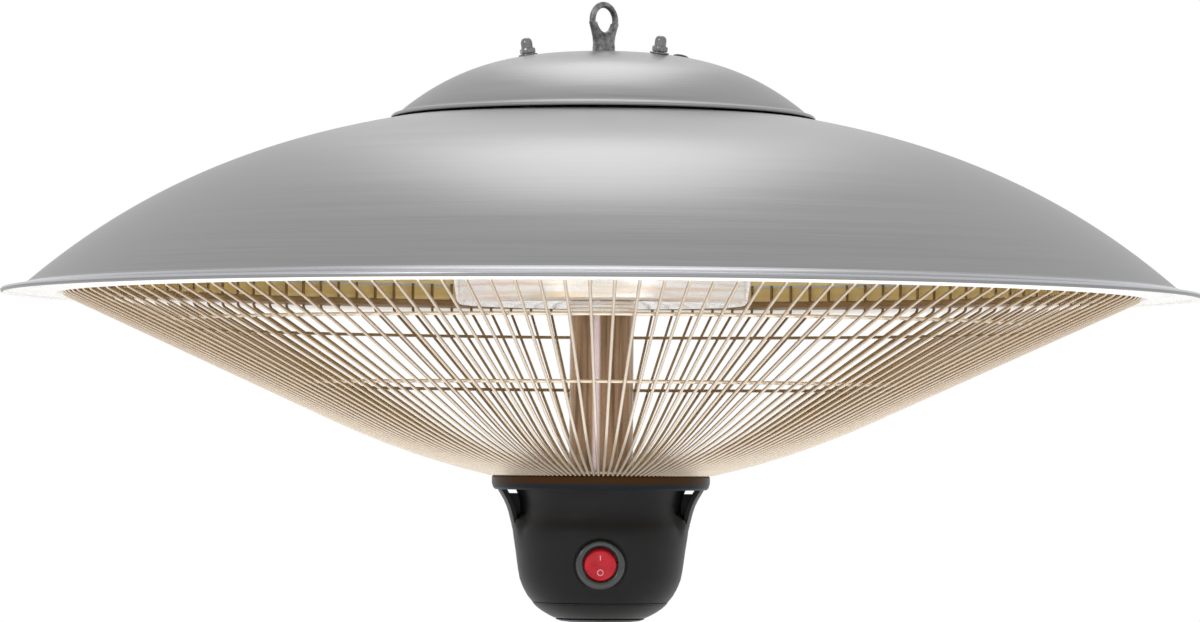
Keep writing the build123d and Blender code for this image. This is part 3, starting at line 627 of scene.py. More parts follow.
def facing_lamps(tree):
    """How squarely a face looks at the middle of the lamps, from -1 to 1."""
    coordinates = node(tree, "ShaderNodeTexCoord")
    toward = node(tree, "ShaderNodeVectorMath", operation="SUBTRACT")
    toward.inputs[0].default_value = (0, 0, LAMP_MIDDLE * MM)
    tree.links.new(coordinates.outputs["Object"], toward.inputs[1])
    unit = node(tree, "ShaderNodeVectorMath", operation="NORMALIZE")
    tree.links.new(toward.outputs[0], unit.inputs[0])
    product = node(tree, "ShaderNodeVectorMath", operation="DOT_PRODUCT")
    tree.links.new(unit.outputs[0], product.inputs[0])
    tree.links.new(coordinates.outputs["Normal"], product.inputs[1])
    return product.outputs["Value"]


def wire_metal():
    """Bright plated wire, with painted brown shade on the side that faces the lamps."""
    bright, painted_shade_colour = (0.80, 0.70, 0.58), (0.25, 0.165, 0.095)
    material, tree, shader = principled("grille_wire", bright, 0.16, 0.5)
    patch = noise(tree, object_place(tree), 90, 3.0)
    # Painted shade: the side of each wire turned towards the lamps is darkened to brown.
    painted_shade = spread(tree, facing_lamps(tree), 0, 1, -0.78, -0.05)
    painted_shade = maths(tree, "MULTIPLY", painted_shade, spread(tree, patch, 0.9, 1.0))
    set_sockets(tree, shader, Base_Color=tint(tree, painted_shade, bright, painted_shade_colour),
                Roughness=spread(tree, patch, 0.12, 0.22))
    return material


def cast_zinc():
    """Hot-dip galvanised casting with a dull, uneven skin."""
    colour = (0.16, 0.16, 0.16)
    material, tree, shader = principled("galvanised", colour, 0.42, 1.0)
    grain = noise(tree, object_place(tree), 900, 4.0)
    patch = noise(tree, object_place(tree), 300, 3.0)
    set_sockets(tree, shader, Base_Color=mottled(tree, patch, colour, 0.4, 1.9),
                Roughness=spread(tree, grain, 0.30, 0.55))
    bump(tree, shader, patch, 0.5, 0.25)
    return material


def plated(name, colour, roughness):
    """Small metal parts with a slightly uneven skin."""
    material, tree, shader = principled(name, colour, roughness, 1.0)
    patch = noise(tree, object_place(tree), 500, 3.0)
    set_sockets(tree, shader, Base_Color=mottled(tree, patch, colour, 0.85, 1.12),
                Roughness=spread(tree, patch, roughness * 0.8, roughness * 1.3))
    return material


def moulded(name, colour, roughness, texture=0.12, gloss=0.5):
    """Moulded plastic or ceramic with a fine texture."""
    material, tree, shader = principled(name, colour, roughness, Specular_IOR_Level=gloss)
    grain = noise(tree, object_place(tree), 2600, 3.0, 0.6)
    patch = noise(tree, object_place(tree), 45, 3.0)
    set_sockets(tree, shader, Base_Color=mottled(tree, patch, colour, 0.88, 1.1),
                Roughness=spread(tree, grain, roughness * 0.9, min(1.0, roughness * 1.15)))
    bump(tree, shader, grain, texture, 0.06)
    return material


def lid_plastic():
    """Black plastic with a painted brown reflection of the wires over its upper half."""
    middle = (LID_TOP + LID_LOW) / 2
    material, tree, shader = principled("lid_black", (0.012, 0.011, 0.011), 0.35,
                                        Specular_IOR_Level=0.08)
    parts = node(tree, "ShaderNodeSeparateXYZ")
    tree.links.new(object_place(tree), parts.inputs[0])
    # Painted reflection: browner above the lid's middle, bluish black below.
    height = spread(tree, parts.outputs[2], 0, 1, (middle - 1.6) * MM, (middle + 0.2) * MM)
    grain = noise(tree, object_place(tree), 900, 3.0)
    set_sockets(tree, shader, Base_Color=tint(tree, height, (0.008, 0.011, 0.015), (0.036, 0.015, 0.003)),
                Roughness=spread(tree, grain, 0.3, 0.42))
    return material


def red_plastic():
    """Translucent red plastic."""
    material, tree, shader = principled("red_rocker", (0.42, 0.008, 0.018), 0.24, IOR=1.49,
                                        Subsurface_Weight=0.25, Specular_IOR_Level=0.2)
    shader.inputs["Subsurface Radius"].default_value = (1.0, 0.15, 0.1)
    shader.inputs["Subsurface Scale"].default_value = 2 * MM
    patch = noise(tree, object_place(tree), 260, 2.0)
    set_sockets(tree, shader,
                Base_Color=tint(tree, spread(tree, patch, 0, 1), (0.27, 0.006, 0.012), (0.38, 0.011, 0.020)))
    return material


def quartz():
    """Clear quartz with a thin warm coating."""
    material, tree, shader = principled("quartz", (0.98, 0.80, 0.52), 0.04, IOR=1.46,
                                        Transmission_Weight=0.9)
    patch = noise(tree, object_place(tree), 60, 2.0)
    set_sockets(tree, shader, Roughness=spread(tree, patch, 0.03, 0.08))
    return material


STEEL = brushed_steel()
HUB_METAL = streaked_hub()
COLUMN_METAL = painted_reflection_tube()
GOLD = polished("gold_reflector", (1.0, 0.78, 0.38), 0.16, 0.08, 0.1)
# Near-white copy of metal: a painted white reflection for the shade's underside and the carrier.
PAINTED_WHITE_REFLECTION = polished("painted_white_reflection", (0.95, 0.94, 0.92), 0.20, 0.03, 0.4)
# Blue-grey copy of the steel: a painted reflection for the shade's flare and the top of its bead.
PAINTED_RIM_REFLECTION = polished("painted_rim_reflection", (0.44, 0.45, 0.48), 0.24, 0.06)
WIRE = wire_metal()
ZINC_CAST = cast_zinc()
NUT_METAL = plated("nickel_plate", (0.20, 0.20, 0.20), 0.12)
PLATE_METAL = plated("zinc_plate", (0.50, 0.50, 0.50), 0.32)
BLACK = moulded("housing_black", (0.005, 0.005, 0.0053), 0.42, 0.12, 0.21)
LID_BLACK = lid_plastic()
BEZEL_BLACK = moulded("bezel_black", (0.018, 0.022, 0.020), 0.12, 0.03, 0.7)
NYLON = moulded("gland_black", (0.026, 0.026, 0.026), 0.48)
CERAMIC = moulded("ceramic", (0.74, 0.71, 0.64), 0.62)
CREAM_PLASTIC = moulded("terminal_cream", (0.66, 0.62, 0.54), 0.5)
DARK_PLASTIC = moulded("thermostat_dark", (0.045, 0.032, 0.024), 0.45)
RED = red_plastic()
MARK = moulded("switch_mark", (0.52, 0.22, 0.24), 0.4, 0.02)
QUARTZ = quartz()
TUNGSTEN = plated("tungsten", (0.28, 0.25, 0.22), 0.4)
BRASS = plated("brass_tab", (0.70, 0.52, 0.24), 0.3)


# Shade and cap


def shade_z(r):
    """Height of the shade's outer face at radius r."""
    t = r / SHADE_KINK_R
    return SHADE_TOP - SHADE_DROP * (SHADE_ROUNDNESS * t**2 + (1 - SHADE_ROUNDNESS) * t**4)


def cap_z(r):
    """Height of the cap's outer face at radius r."""
    t = r / CAP_CREASE_R
    return CAP_TOP - CAP_DROP * (CAP_ROUNDNESS * t**2 + (1 - CAP_ROUNDNESS) * t**3)


def shade_outline():
    """The shade's section: a dome, a concave flare past its kink, and a rolled bead."""
    dome = [ROD_HOLE_R + (SHADE_KINK_R - 3 - ROD_HOLE_R) * i / 70 for i in range(71)]
    dome = [(r, shade_z(r)) for r in dome]
    kink_z = shade_z(SHADE_KINK_R)
    bead_z = SHADE_LOW + BEAD_R
    edge = (SHADE_R - BEAD_R * 1.1, bead_z + BEAD_R)
    flare = []
    for i in range(13):
        t = i / 12
        r = SHADE_KINK_R + (edge[0] - SHADE_KINK_R) * t
        z = kink_z + (edge[1] - kink_z) * (1 - (1 - t) ** FLARE_CURVE)
        flare.append((r, z))
    outer = soften(dome + flare, 1.2, closed=False, steps=4)
    bead = [(SHADE_R - BEAD_R + BEAD_R * cos(a), bead_z + BEAD_R * sin(a))
            for a in [radians(70 - 16 * k) for k in range(17)]]
    inner = side_step(outer, SHEET_WALL)[::-1]
    return outer + bead + inner[2:]


def make_shade():
    """The shade: brushed outside, with a painted white reflection underneath and a painted blue-grey
    reflection on its flare and bead.
    """
    brushed, bright, rim = range(3)
    piece = link("shade_skin", lathe(shade_outline()), [STEEL, PAINTED_WHITE_REFLECTION, PAINTED_RIM_REFLECTION],
                 ["shade"], 50)
    # Painted reflections by facing: faces turned down or inward get the near-white finish. The flare and the
    # bead's upper outer faces get the blue-grey one, and the bead's lower outer faces stay brushed and
    # darker.
    for face in piece.data.polygons:
        r = hypot(*face.center.xy) / MM
        outward = face.normal.xy.dot(face.center.xy) > 0
        if r > SHADE_R - 2.2 * BEAD_R and outward:
            face.material_index = rim if face.normal.z > 0.1 else brushed
        elif r > SHADE_R - 2.2 * BEAD_R or face.normal.z < -0.2:
            face.material_index = bright
        elif r > SHADE_KINK_R + 1.5:
            face.material_index = rim


def make_cap():
    """The wiring cap, with a crease above its rolled lip."""
    pad = [(ROD_HOLE_R, CAP_TOP), (CAP_PAD_R - 1, CAP_TOP)]
    dome = [CAP_PAD_R + 1 + (CAP_CREASE_R - 1.6 - CAP_PAD_R) * i / 40 for i in range(41)]
    dome = [(r, cap_z(r)) for r in dome]
    crease_z = cap_z(CAP_CREASE_R)
    lip = [(CAP_CREASE_R + 0.5, crease_z - 0.8), (CAP_R - 2.4, crease_z - 1.4),
           (CAP_R - 0.9, crease_z - 1.9), (CAP_R - 0.2, crease_z - 2.8), (CAP_R, CAP_LOW + 0.7),
           (CAP_R - 0.2, CAP_LOW)]
    outer = pad + dome + soften(lip, 0.8, closed=False, steps=4)
    inner = side_step(outer, SHEET_WALL)[::-1]
    inner = [(r, max(z, CAP_LOW)) for r, z in inner]
    link("cap_skin", lathe(outer + inner), STEEL, ["top_cap"], 40)


# Hanging eye and the cap's fittings


def oval(half_x, half_y, z, steps=40):
    """A level ring of points with two half widths."""
    return [(half_x * cos(2 * pi * k / steps), half_y * sin(2 * pi * k / steps), z)
            for k in range(steps)]


def skin(rings):
    """A closed skin over a stack of rings that have the same number of points."""
    steps = len(rings[0])
    points = [p for ring in rings for p in ring]
    faces = [list(reversed(range(steps)))]
    for i in range(len(rings) - 1):
        for k in range(steps):
            m = (k + 1) % steps
            faces.append([i * steps + k, i * steps + m, (i + 1) * steps + m, (i + 1) * steps + k])
    faces.append([(len(rings) - 1) * steps + k for k in range(steps)])
    return points, faces


def eye_casting():
    """The ring and its fan-shaped foot, joined and worn smooth like a casting."""
    ring_r, steps = EYE_HOLE_R + EYE_WIRE_R, 64
    ring = tube([(ring_r * cos(2 * pi * k / steps), 0, ring_r * sin(2 * pi * k / steps))
                 for k in range(steps)], EYE_WIRE_R, 16, closed=True)
    collar_top = CAP_TOP + EYE_COLLAR_H
    fan = skin([oval(half_x, half_y, collar_top + rise) for half_x, half_y, rise in EYE_FAN])
    notch = lathe([(0, -NOTCH_HALF), (NOTCH_MOUTH_R, -NOTCH_HALF), (EYE_HOLE_R, -NOTCH_LAND),
                   (EYE_HOLE_R, NOTCH_LAND), (NOTCH_MOUTH_R, NOTCH_HALF), (0, NOTCH_HALF)], 64)
    notch = placed(notch, Matrix.Translation((0, 0, NOTCH_RISE)) @ Matrix.Rotation(pi / 2, 4, "X"))
    body = combine(loose("eye_work", fan), [loose("notch", notch)], "DIFFERENCE")
    combine(body, [loose("ring", ring)], "UNION")
    remesh = body.modifiers.new("remesh", "REMESH")
    remesh.mode = "VOXEL"
    remesh.voxel_size = EYE_VOXEL * MM
    smooth = body.modifiers.new("smooth", "SMOOTH")
    smooth.iterations = 4
    smooth.factor = 0.5
    apply_modifiers(body)
    points, faces = taken_part(body)
    turn = Matrix.Rotation(radians(EYE_TURN), 4, "Z")
    return [tuple(turn @ p / MM) for p in points], faces


def make_eye():
    """The cast eye on its turned collar."""
    collar_top = CAP_TOP + EYE_COLLAR_H
    collar = soften([(0, CAP_TOP), (EYE_COLLAR_R, CAP_TOP), (EYE_COLLAR_R, collar_top - 0.4),
                     (EYE_COLLAR_TOP_R, collar_top), (0, collar_top)], 0.45)
    eye = merge([eye_casting(), lathe(collar, COARSE)])
    link("cast_eye", eye, ZINC_CAST, ["eye_nut"], 60)


def cap_place(radius, angle):
    """Where a fitting stands on the cap, square to its skin."""
    step = 0.5
    lean = atan2(cap_z(radius - step) - cap_z(radius + step), 2 * step)
    return (Matrix.Rotation(radians(angle), 4, "Z") @ Matrix.Translation((radius, 0, cap_z(radius)))
            @ Matrix.Rotation(lean, 4, "Y"))


def at_studs(part):
    return merge([placed(part, cap_place(STUD_CIRCLE_R, angle)) for angle in STUD_ANGLES])


def make_acorn_nuts():
    """Acorn nuts on washers."""
    foot = [(0, WASHER_H), (3.4, WASHER_H), (NUT_CORNER_R, WASHER_H + 0.5),
            (NUT_CORNER_R, WASHER_H + 2.4), (3.3, WASHER_H + 2.9), (NUT_DOME_R, WASHER_H + 3.0)]
    dome = [(NUT_DOME_R * cos(a) ** 0.7, WASHER_H + NUT_SHOULDER_H + NUT_CROWN_H * sin(a))
            for a in [radians(9 * k) for k in range(10)]]
    nut = foot + dome + [(0, WASHER_H + NUT_H)]
    washer_top = WASHER_H - 0.1
    washer = soften([(STUD_R, SEAT), (WASHER_R, SEAT), (WASHER_R, washer_top), (STUD_R, washer_top)], 0.25)
    link("acorn_nut_pair", at_studs(hex_lathe(nut, NUT_ACROSS)), NUT_METAL,
         ["acorn_nuts"], 24)
    link("acorn_washer_pair", at_studs(lathe(washer, COARSE)), NUT_METAL,
         ["acorn_washers"], 40)


def make_gland():
    """The cable gland: a neck through the cap, a foot on it and a low dome with a bore."""
    gland = [(GLAND_BORE_R, -GLAND_NECK_L), (GLAND_NECK_R, -GLAND_NECK_L), (GLAND_NECK_R, SEAT),
             (GLAND_FOOT_R, SEAT), (GLAND_FOOT_R, 1.0), (GLAND_WAIST_R, 1.7), (GLAND_WAIST_R, 3.6)]
    gland += [(GLAND_BORE_R + 0.2 + 1.8 * cos(a), 4.4 + 3.2 * sin(a))
              for a in [radians(10 * k) for k in range(10)]]
    gland += [(GLAND_BORE_R, 7.4)]
    gland = placed(lathe(gland, COARSE), cap_place(GLAND_CIRCLE_R, GLAND_ANGLE))
    link("gland_dome", gland, NYLON, ["cable_gland"], 35)


# Reflector, hub, column


def make_dish():
    """The gold reflector over the lamps."""
    dish_top, dish_low, dish_r = top("reflector_dish"), bottom("reflector_dish"), reach("reflector_dish")
    outer = [(ROD_HOLE_R, dish_top), (DISH_FLAT_R, dish_top), (dish_r, dish_low)]
    outer = soften(outer, DISH_BEND_R, closed=False, steps=8)
    outer = [(r, z) for r, z in outer if z >= dish_low]
    inner = [(r, z - SHEET_WALL) for r, z in outer[::-1]]
    link("dish_skin", lathe(outer + inner), GOLD, ["reflector_dish"], 40)


def make_hub():
    """The polished pan between the lamps."""
    hub = [(reach("hub_cover"), HUB_TOP - SHEET_WALL), (HUB_TOP_R, HUB_TOP - SHEET_WALL),
           (HUB_LOW_R, HUB_LOW + 1.6), (HUB_FOOT_R, HUB_LOW), (COLUMN_R + COLUMN_CLEARANCE, HUB_LOW)]
    hub = soften(hub, 1.4, closed=False, steps=4)
    inner = side_step(hub, SHEET_WALL)[::-1]
    link("hub_skin", lathe(hub + inner), HUB_METAL, ["hub_cover"], 35)


def make_column():
    """The column, and the grooved collar round its head."""
    bore = COLUMN_R - COLUMN_WALL
    column = [(bore, COLUMN_LOW), (COLUMN_R, COLUMN_LOW), (COLUMN_R, COLUMN_TOP), (bore, COLUMN_TOP)]
    link("column_skin", lathe(column, COARSE), COLUMN_METAL, ["centre_column"], 40)
    low, high, bore = bottom("column_collar"), top("column_collar"), COLUMN_R + 0.02
    third = (high - low) / 3
    ribs = [(COLLAR_R, low)]
    for middle in (low + third, high - third):
        ribs += [(COLLAR_R, middle - GROOVE_HALF), (GROOVE_R, middle), (COLLAR_R, middle + GROOVE_HALF)]
    collar = soften([(bore, low)] + ribs + [(COLLAR_R, high), (bore, high)], 0.3)
    link("collar_skin", lathe(collar, COARSE), HUB_METAL, ["column_collar"], 40)


# Lamps


def at_lamps(part):
    return around(placed(part, Matrix.Translation((0, LAMP_OFFSET, LAMP_MIDDLE))), LAMP_COUNT)


def make_lamp_tubes():
    """The quartz tubes, lying in a triangle."""
    glass = lathe([(LAMP_BORE_R, -LAMP_HALF_L), (LAMP_R, -LAMP_HALF_L), (LAMP_R, LAMP_HALF_L),
                   (LAMP_BORE_R, LAMP_HALF_L)], 48)
    glass = at_lamps(placed(glass, Matrix.Rotation(pi / 2, 4, "Y")))
    link("quartz_tubes", glass, QUARTZ, ["lamp_tubes"], 40)


def make_filaments():
    """A wound coil in each lamp, with a straight lead at both ends."""
    coil_half, steps = LAMP_HALF_L - COIL_MARGIN, COIL_TURNS * COIL_SIDES
    coil = [(coil_half * (2 * k / steps - 1), COIL_R * cos(2 * pi * k / COIL_SIDES),
             COIL_R * sin(2 * pi * k / COIL_SIDES)) for k in range(steps + 1)]
    leads = [tube([(s * coil_half, 0, 0), (s * (LAMP_HALF_L - LEAD_MARGIN), 0, 0)], LEAD_R, 6)
             for s in (1, -1)]
    filaments = at_lamps(merge([tube(coil, COIL_WIRE_R, 5)] + leads))
    link("filament_coils", filaments, TUNGSTEN, ["lamp_filaments"], 60)


# Cage


def flank_z(r):
    """Height of a wire's centre line on its flank, flatter near the housing."""
    short = max(0.0, CAGE_FLATTEN_R - r) / 100
    return CAGE_SHOULDER_Z - CAGE_SLOPE * (CAGE_TOP_R - r) + CAGE_FLATTEN * short**2


def make_wires():
    """The cage's wires: a short upright end in the carrier, a bend, and a flank to the housing."""
    corner = [(CAGE_TOP_R, top("grille_wires")), (CAGE_TOP_R, CAGE_SHOULDER_Z),
              (BEND_STEP_R, flank_z(BEND_STEP_R))]
    path = soften(corner, CAGE_BEND_R, closed=False, steps=6)
    path += [(r, flank_z(r)) for r in CAGE_FLANK_RADII]
    wire = tube([(r, 0, z) for r, z in path], WIRE_R, 10)
    link("cage_wires", around(wire, WIRE_COUNT), WIRE, ["grille_wires"], 50)


def round_section(r, z, radius, steps=14):
    """A round section whose middle lies at radius r and height z."""
    return [(r + radius * cos(2 * pi * k / steps), z + radius * sin(2 * pi * k / steps))
            for k in range(steps)]


def make_rings():
    """The thick top ring inside the carrier, and three thin ones across the wires."""
    for name in ("grille_top_ring", "grille_upper_ring", "grille_lower_ring", "grille_bottom_ring"):
        low, high = bottom(name), top(name)
        half = (high - low) / 2
        first = name == "grille_top_ring"
        sink = TOP_RING_SINK if first else 0
        section = round_section(reach(name) - half, (low + high) / 2 - sink,
                                half if first else min(half, RING_R))
        link(name + "_round", lathe(section), WIRE, [name], 60)


def make_carrier():
    """A rolled ring inside the brim, in the near-white painted reflection, with a painted gold reflection of
    the reflector on the inside of its upper half.
    """
    low, high, r = bottom("grille_carrier"), top("grille_carrier"), reach("grille_carrier")
    wall = CARRIER_WALL_R
    path = [(wall, high), (wall, PAINTED_GOLD_LOW_Z)]
    path += [(wall + out, low + rise) for out, rise in CARRIER_LIP]
    path += [(r - 0.5, low + 4.2)]
    path = soften(path, 1.0, closed=False, steps=4)
    outline = path + side_step(path, SHEET_WALL)[::-1]
    piece = link("carrier_skin", lathe(outline), [PAINTED_WHITE_REFLECTION, GOLD], ["grille_carrier"], 40)
    for face in piece.data.polygons:
        place = face.center / MM
        inward = hypot(place.x, place.y) < wall + 0.1 and face.normal.xy.dot(place.xy) < 0
        # Painted reflection: inward faces above this height take the reflector's gold.
        if inward and place.z > PAINTED_GOLD_LOW_Z:
            face.material_index = 1


# Housing


def make_lid():
    """The lid: a rounded rim, and a pocket underneath."""
    hole = COLUMN_R + COLUMN_CLEARANCE
    edge = [(hole, LID_TOP), (LID_R - 1.2, LID_TOP), (LID_R, LID_TOP - 1.2),
            (LID_R, LID_TOP - 4.4), (LID_R - 0.7, LID_LOW + 1.0), (LID_R - 1.7, LID_LOW),
            (LID_POCKET_R, LID_LOW), (LID_POCKET_R, LID_TOP - HOUSING_WALL), (hole, LID_TOP - HOUSING_WALL)]
    link("lid_skin", lathe(soften(edge, 0.8)), LID_BLACK, ["housing_lid"], 40)


def below_lid(profile):
    """A profile of radii and drops as radii and heights."""
    return [(r, LID_LOW - drop) for r, drop in profile]


def swell(part):
    """The core's skin brought out to meet the arms at both sides, below their windows."""
    points, faces = part
    moved = []
    for x, y, z in points:
        drop, r = LID_LOW - z, hypot(x, y)
        near = [out for at, out in SHELL_SWELL if abs(at - drop) < 0.1]
        side = min(1.0, max(0.0, (abs(x) / r - SWELL_START) / SWELL_SPAN)) if r else 0.0
        scale = 1 + (near[0] * side * side * (3 - 2 * side) / r if near and r else 0)
        moved.append((x * scale, y * scale, z))
    return moved, faces


def facing_front(outline, distance):
    """An outline turned about the switch's own axis, from a distance in front of the hanging axis."""
    place = Matrix.Translation((0, -distance, SWITCH_Z)) @ Matrix.Rotation(pi / 2, 4, "X")
    return placed(lathe(outline, COARSE), place)


def plug(radius, length):
    return [(0, 0), (radius, 0), (radius, length), (0, length)]


def shell_arms():
    """An arm on each side, and the web that ties it to the core."""
    outer = below_lid(ARM_PROFILE)
    inner = side_step(outer, ARM_WALL)[::-1]
    arm = lathe(soften(outer + inner, 0.7), 32, -ARM_HALF_ANGLE, 2 * ARM_HALF_ANGLE)
    middle = side_step(outer, WEB_INSET)[1:]
    web = middle + [(WEB_INNER_R, middle[-1][1]), (WEB_INNER_R, middle[0][1])]
    web = lathe(web, 6, -WEB_HALF_ANGLE, 2 * WEB_HALF_ANGLE)
    return [loose("arm", placed(p, Matrix.Rotation(t, 4, "Z"))) for t in (0.0, pi) for p in (arm, web)]


def make_shell():
    """The moulded cup: a round core, a flared arm on each side, and a recess for the switch."""
    outer = below_lid(SHELL_PROFILE)
    inner = [(r - HOUSING_WALL, z) for r, z in outer[::-1]]
    core = loose("shell_core", swell(lathe(outer + inner, MEDIUM)))
    arms = shell_arms()
    boss = loose("boss", facing_front(plug(BOSS_R, BOSS_L), BOSS_Y))
    inside = [(r - 0.1, z) for r, z in outer] + [(0, outer[-1][1]), (0, outer[0][1])]
    combine(boss, [loose("limit", lathe(inside, MEDIUM))], "INTERSECT")
    combine(core, arms + [boss], "UNION")
    recess = facing_front(soften(plug(RECESS_R, CUT_L), 0.3), RECESS_Y)
    hole = facing_front(plug(SWITCH_HOLE_R, CUT_L), SWITCH_HOLE_Y)
    combine(core, [loose("recess", recess), loose("hole", hole)], "DIFFERENCE")
    link("shell_skin", taken_mesh(core), BLACK, ["housing_shell"], 38)


def make_bottom():
    """The bowl below the seam."""
    bowl = [(r, BOTTOM_TOP - drop) for r, drop in BOWL_PROFILE] + [(BOWL_FOOT_R, BOTTOM_LOW)]
    bowl = soften(bowl, 2.0, closed=False, steps=3)
    floor_z = BOTTOM_LOW + HOUSING_WALL
    inner = [(r - HOUSING_WALL, z) for r, z in bowl[::-1] if z > floor_z]
    outline = bowl + [(0, BOTTOM_LOW), (0, floor_z), (20.0, floor_z)] + inner
    link("bottom_skin", lathe(outline, MEDIUM), BLACK, ["housing_bottom"], 38)


def make_end_cap():
    """The shallow cap under the bowl."""
    cap = soften([(0, END_TOP - 0.15), (END_R - 0.5, END_TOP - 0.15), (END_R, END_TOP - 0.6),
                  (END_R - 0.1, END_LOW + 1.5), (END_R - 2.4, END_LOW + 0.7), (END_R - 6.5, END_LOW + 0.15),
                  (END_R - 12.0, END_LOW), (0, END_LOW)], 0.4)
    link("end_cap_skin", lathe(cap, MEDIUM), BLACK, ["bottom_cap"], 38)


# Switch


def pin(radius, half_length):
    """A pin along the rocker's axis."""
    outline = [(0, -half_length), (radius, -half_length), (radius, half_length), (0, half_length)]
    return placed(lathe(outline, 32), Matrix.Translation(PIVOT) @ Matrix.Rotation(pi / 2, 4, "Y"))


def make_switch():
    """The switch's body: a barrel, a rounded bezel and a well for the rocker."""
    front, seat = -BEZEL_FRONT, -BEZEL_FRONT - BEZEL_H
    bezel = [(0, seat - BARREL_L), (BARREL_R, seat - BARREL_L), (BARREL_R, seat), (BEZEL_R, seat),
             *[(r, front - back) for r, back in BEZEL_LIP], (WELL_R, front - WELL_DEPTH),
             (0, front - WELL_DEPTH)]
    body = loose("bezel", facing_front(bezel, 0))
    combine(body, [loose("pin_hole", pin(PIN_BORE_R, 20))], "DIFFERENCE")
    link("bezel_skin", taken_mesh(body), BEZEL_BLACK, ["switch_body"], 35)


def face_lean(way):
    """Turns the rocker's upper (1) or lower (-1) half face from upright to its own slant."""
    return Matrix.Translation((0, -ROCKER_FACE, 0)) @ Matrix.Rotation(radians(ROCKER_VEE * way), 4, "X")


def face_cutter(way):
    """A block that cuts the upper or the lower half of the rocker's face."""
    near = [(-20, 0, 0), (20, 0, 0), (20, -20, 0), (-20, -20, 0)]
    far = [(x, y, way * 20) for x, y, z in near]
    faces = [[0, 1, 2, 3], [4, 5, 6, 7], [0, 1, 5, 4], [1, 2, 6, 5], [2, 3, 7, 6], [3, 0, 4, 7]]
    return loose("cutter", placed((near + far, faces), face_lean(way)))


def make_rocker():
    """The rocker at rest is tilted to off, so its lower half is pressed in."""
    crown = ROCKER_FACE + ROCKER_CROWN
    side = [(0, -ROCKER_BACK), (ROCKER_R - 0.6, -ROCKER_BACK), (ROCKER_R, 0),
            (ROCKER_R - 0.25, ROCKER_FACE - 0.6), (ROCKER_R - 0.9, crown), (0, crown)]
    barrel = placed(lathe(soften(side, 0.5), COARSE), Matrix.Rotation(pi / 2, 4, "X"))
    rocker = loose("rocker_work", barrel)
    combine(rocker, [face_cutter(1), face_cutter(-1)], "DIFFERENCE")
    bevel = rocker.modifiers.new("bevel", "BEVEL")
    bevel.width = ROCKER_BEVEL * MM
    bevel.segments = 3
    bevel.limit_method = "ANGLE"
    bevel.angle_limit = radians(25)
    apply_modifiers(rocker)
    tilt = Matrix.Translation(PIVOT) @ Matrix.Rotation(radians(ROCKER_TILT), 4, "X")
    points, faces = taken_part(rocker)
    parts = [placed(([p / MM for p in points], faces), tilt), pin(PIN_R, PIN_HALF_L)]
    link("rocker_skin", merge(parts), RED, ["switch_rocker"], 30, "rocker")
    make_marks(tilt)


def on_mark():
    """A short upright bar."""
    w, low, high, front = ON_HALF_WIDTH, ON_HEIGHT - ON_HALF_L, ON_HEIGHT + ON_HALF_L, -MARK_SINK - MARK_H
    near = [(-w, front, low), (w, front, low), (w, front, high), (-w, front, high)]
    far = [(x, MARK_SINK, z) for x, y, z in near]
    return near + far, [[0, 1, 2, 3], [7, 6, 5, 4], [0, 4, 5, 1], [1, 5, 6, 2], [2, 6, 7, 3], [3, 7, 4, 0]]


def off_mark():
    """A ring."""
    ring = lathe([(OFF_INNER_R, -MARK_H), (OFF_OUTER_R, -MARK_H), (OFF_OUTER_R, MARK_SINK),
                  (OFF_INNER_R, MARK_SINK)], 40)
    return placed(ring, Matrix.Translation((0, 0, -OFF_HEIGHT)) @ Matrix.Rotation(pi / 2, 4, "X"))


def make_marks(tilt):
    """The on and off marks, printed on the two halves of the rocker's face."""
    for name, part, way in (("mark_on", on_mark(), 1), ("mark_off", off_mark(), -1)):
        link(name, placed(part, tilt @ face_lean(way)), MARK, (), 40, "rocker")


def dress_nodes():
    """Materials for the CAD nodes that stay as they are."""
    finishes = {
        PLATE_METAL: ("suspension_rod", "rod_nuts", "rod_washers", "cap_plate", "cap_studs",
                      "spacer_tube", "hub_plate", "column_plug", "column_flange", "flange_screws",
                      "clip_screws", "lamp_clips"),
        NYLON: ("gland_nut",), CREAM_PLASTIC: ("terminal_block",), DARK_PLASTIC: ("thermal_cutout",),
        CERAMIC: ("lamp_caps",), BRASS: ("switch_terminals",),
    }
    for material, names in finishes.items():
        for name in names:
            piece = frame["nodes"][name]
            piece.data.materials.clear()
            piece.data.materials.append(material)


# Studio


def make_camera():
    """A camera at the photograph's distance and height, pitched up to its horizon."""
    data = bpy.data.cameras.new("camera")
    camera = bpy.data.objects.new("camera", data)
    bpy.context.scene.collection.objects.link(camera)
    focal_pixels = PIXELS_PER_MM * CAMERA_DISTANCE
    data.sensor_fit = "HORIZONTAL"
    data.sensor_width = 36.0
    data.lens = focal_pixels * data.sensor_width / PHOTO_WIDTH
    data.clip_start, data.clip_end = 0.05, 100
    height = -(HORIZON_Y - EYE_Y) / PIXELS_PER_MM
    pitch = atan2(HORIZON_Y - PHOTO_HEIGHT / 2, focal_pixels)
    aside = (PHOTO_WIDTH / 2 - AXIS_X) / PIXELS_PER_MM
    place = Matrix.Translation((aside * MM, -CAMERA_DISTANCE * MM, height * MM))
    aim = Matrix.Rotation(pi / 2 + pitch, 4, "X") @ Matrix.Rotation(radians(CAMERA_ROLL), 4, "Z")
    camera.matrix_world = place @ aim
    bpy.context.scene.camera = camera


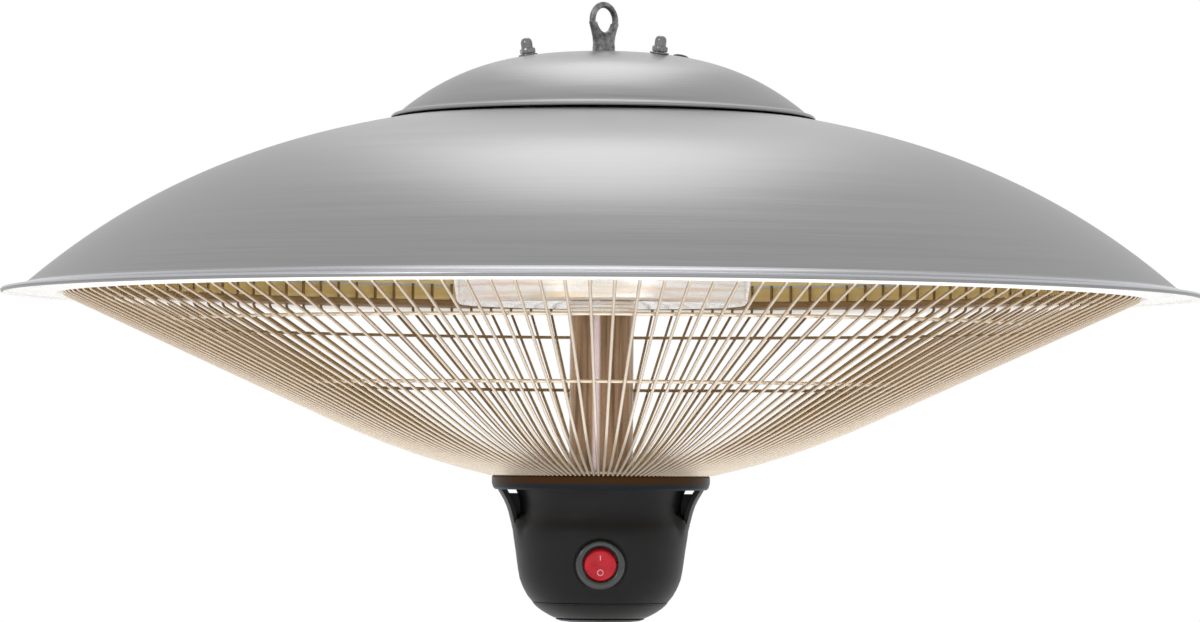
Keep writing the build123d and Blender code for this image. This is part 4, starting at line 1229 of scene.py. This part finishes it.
def lamp(name, place, aim, size, power, mirrored=True):
    """A rectangular studio lamp at a place, turned to face a point, seen or not in reflections."""
    data = bpy.data.lights.new(name, "AREA")
    data.shape = "RECTANGLE"
    data.size, data.size_y = size
    data.energy = power
    piece = bpy.data.objects.new(name, data)
    bpy.context.scene.collection.objects.link(piece)
    piece.location = place
    piece.rotation_euler = (Vector(aim) - Vector(place)).to_track_quat("-Z", "Y").to_euler()
    piece.visible_camera = False
    piece.visible_glossy = mirrored


def background(tree, strength):
    made = node(tree, "ShaderNodeBackground")
    made.inputs["Color"].default_value = (1, 1, 1, 1)
    made.inputs["Strength"].default_value = strength
    return made.outputs[0]


def make_world():
    """A white room: one strength where it is seen or mirrored, another as soft light."""
    world = bpy.data.worlds.new("studio")
    bpy.context.scene.world = world
    world.use_nodes = True
    tree = world.node_tree
    tree.nodes.clear()
    rays = node(tree, "ShaderNodeLightPath")
    seen = maths(tree, "MAXIMUM", rays.outputs["Is Camera Ray"],
                 maths(tree, "MAXIMUM", rays.outputs["Is Glossy Ray"], rays.outputs["Is Transmission Ray"]))
    ambient, backdrop = background(tree, AMBIENT), background(tree, BACKDROP)
    either = node(tree, "ShaderNodeMixShader")
    for output, socket in zip((seen, ambient, backdrop), either.inputs):
        tree.links.new(output, socket)
    out = node(tree, "ShaderNodeOutputWorld")
    tree.links.new(either.outputs[0], out.inputs["Surface"])


def make_floor():
    """A pale matt floor, well below the housing."""
    material, tree, shader = principled("floor", (0.88, 0.88, 0.88), 0.9)
    grain = noise(tree, object_place(tree), 40, 2.0)
    set_sockets(tree, shader, Roughness=spread(tree, grain, 0.85, 0.95))
    mesh = bpy.data.meshes.new("floor")
    half = FLOOR_HALF
    mesh.from_pydata([(-half, -half, 0), (half, -half, 0), (half, half, 0), (-half, half, 0)], [],
                     [[0, 1, 2, 3]])
    mesh.materials.append(material)
    floor = bpy.data.objects.new("floor", mesh)
    floor.location = (0, 0, FLOOR_Z)
    bpy.context.scene.collection.objects.link(floor)


def make_studio():
    """The room, the floor and four lamps, of which the dome and the housing mirror only two."""
    make_world()
    make_floor()
    lamp("key", (0.0, 1.8, 2.35), (0, 0, -0.1), (1.0, 1.4), 7)
    lamp("front_fill", (-1.8, -2.4, 1.2), (0, 0, -0.2), (0.8, 1.2), 12)
    lamp("top", (0.2, -0.4, 2.4), (0, 0, -0.1), (1.4, 1.4), 16, False)
    lamp("low_fill", (0.0, -1.0, -0.58), (0, 0.2, -0.12), (1.6, 0.4), 11, False)
    bpy.context.scene.view_settings.view_transform = "Standard"


make_camera()
make_shade()
make_cap()
make_eye()
make_acorn_nuts()
make_gland()
make_dish()
make_hub()
make_column()
make_lamp_tubes()
make_filaments()
make_wires()
make_rings()
make_carrier()
make_lid()
make_shell()
make_bottom()
make_end_cap()
make_switch()
make_rocker()
dress_nodes()
make_studio()
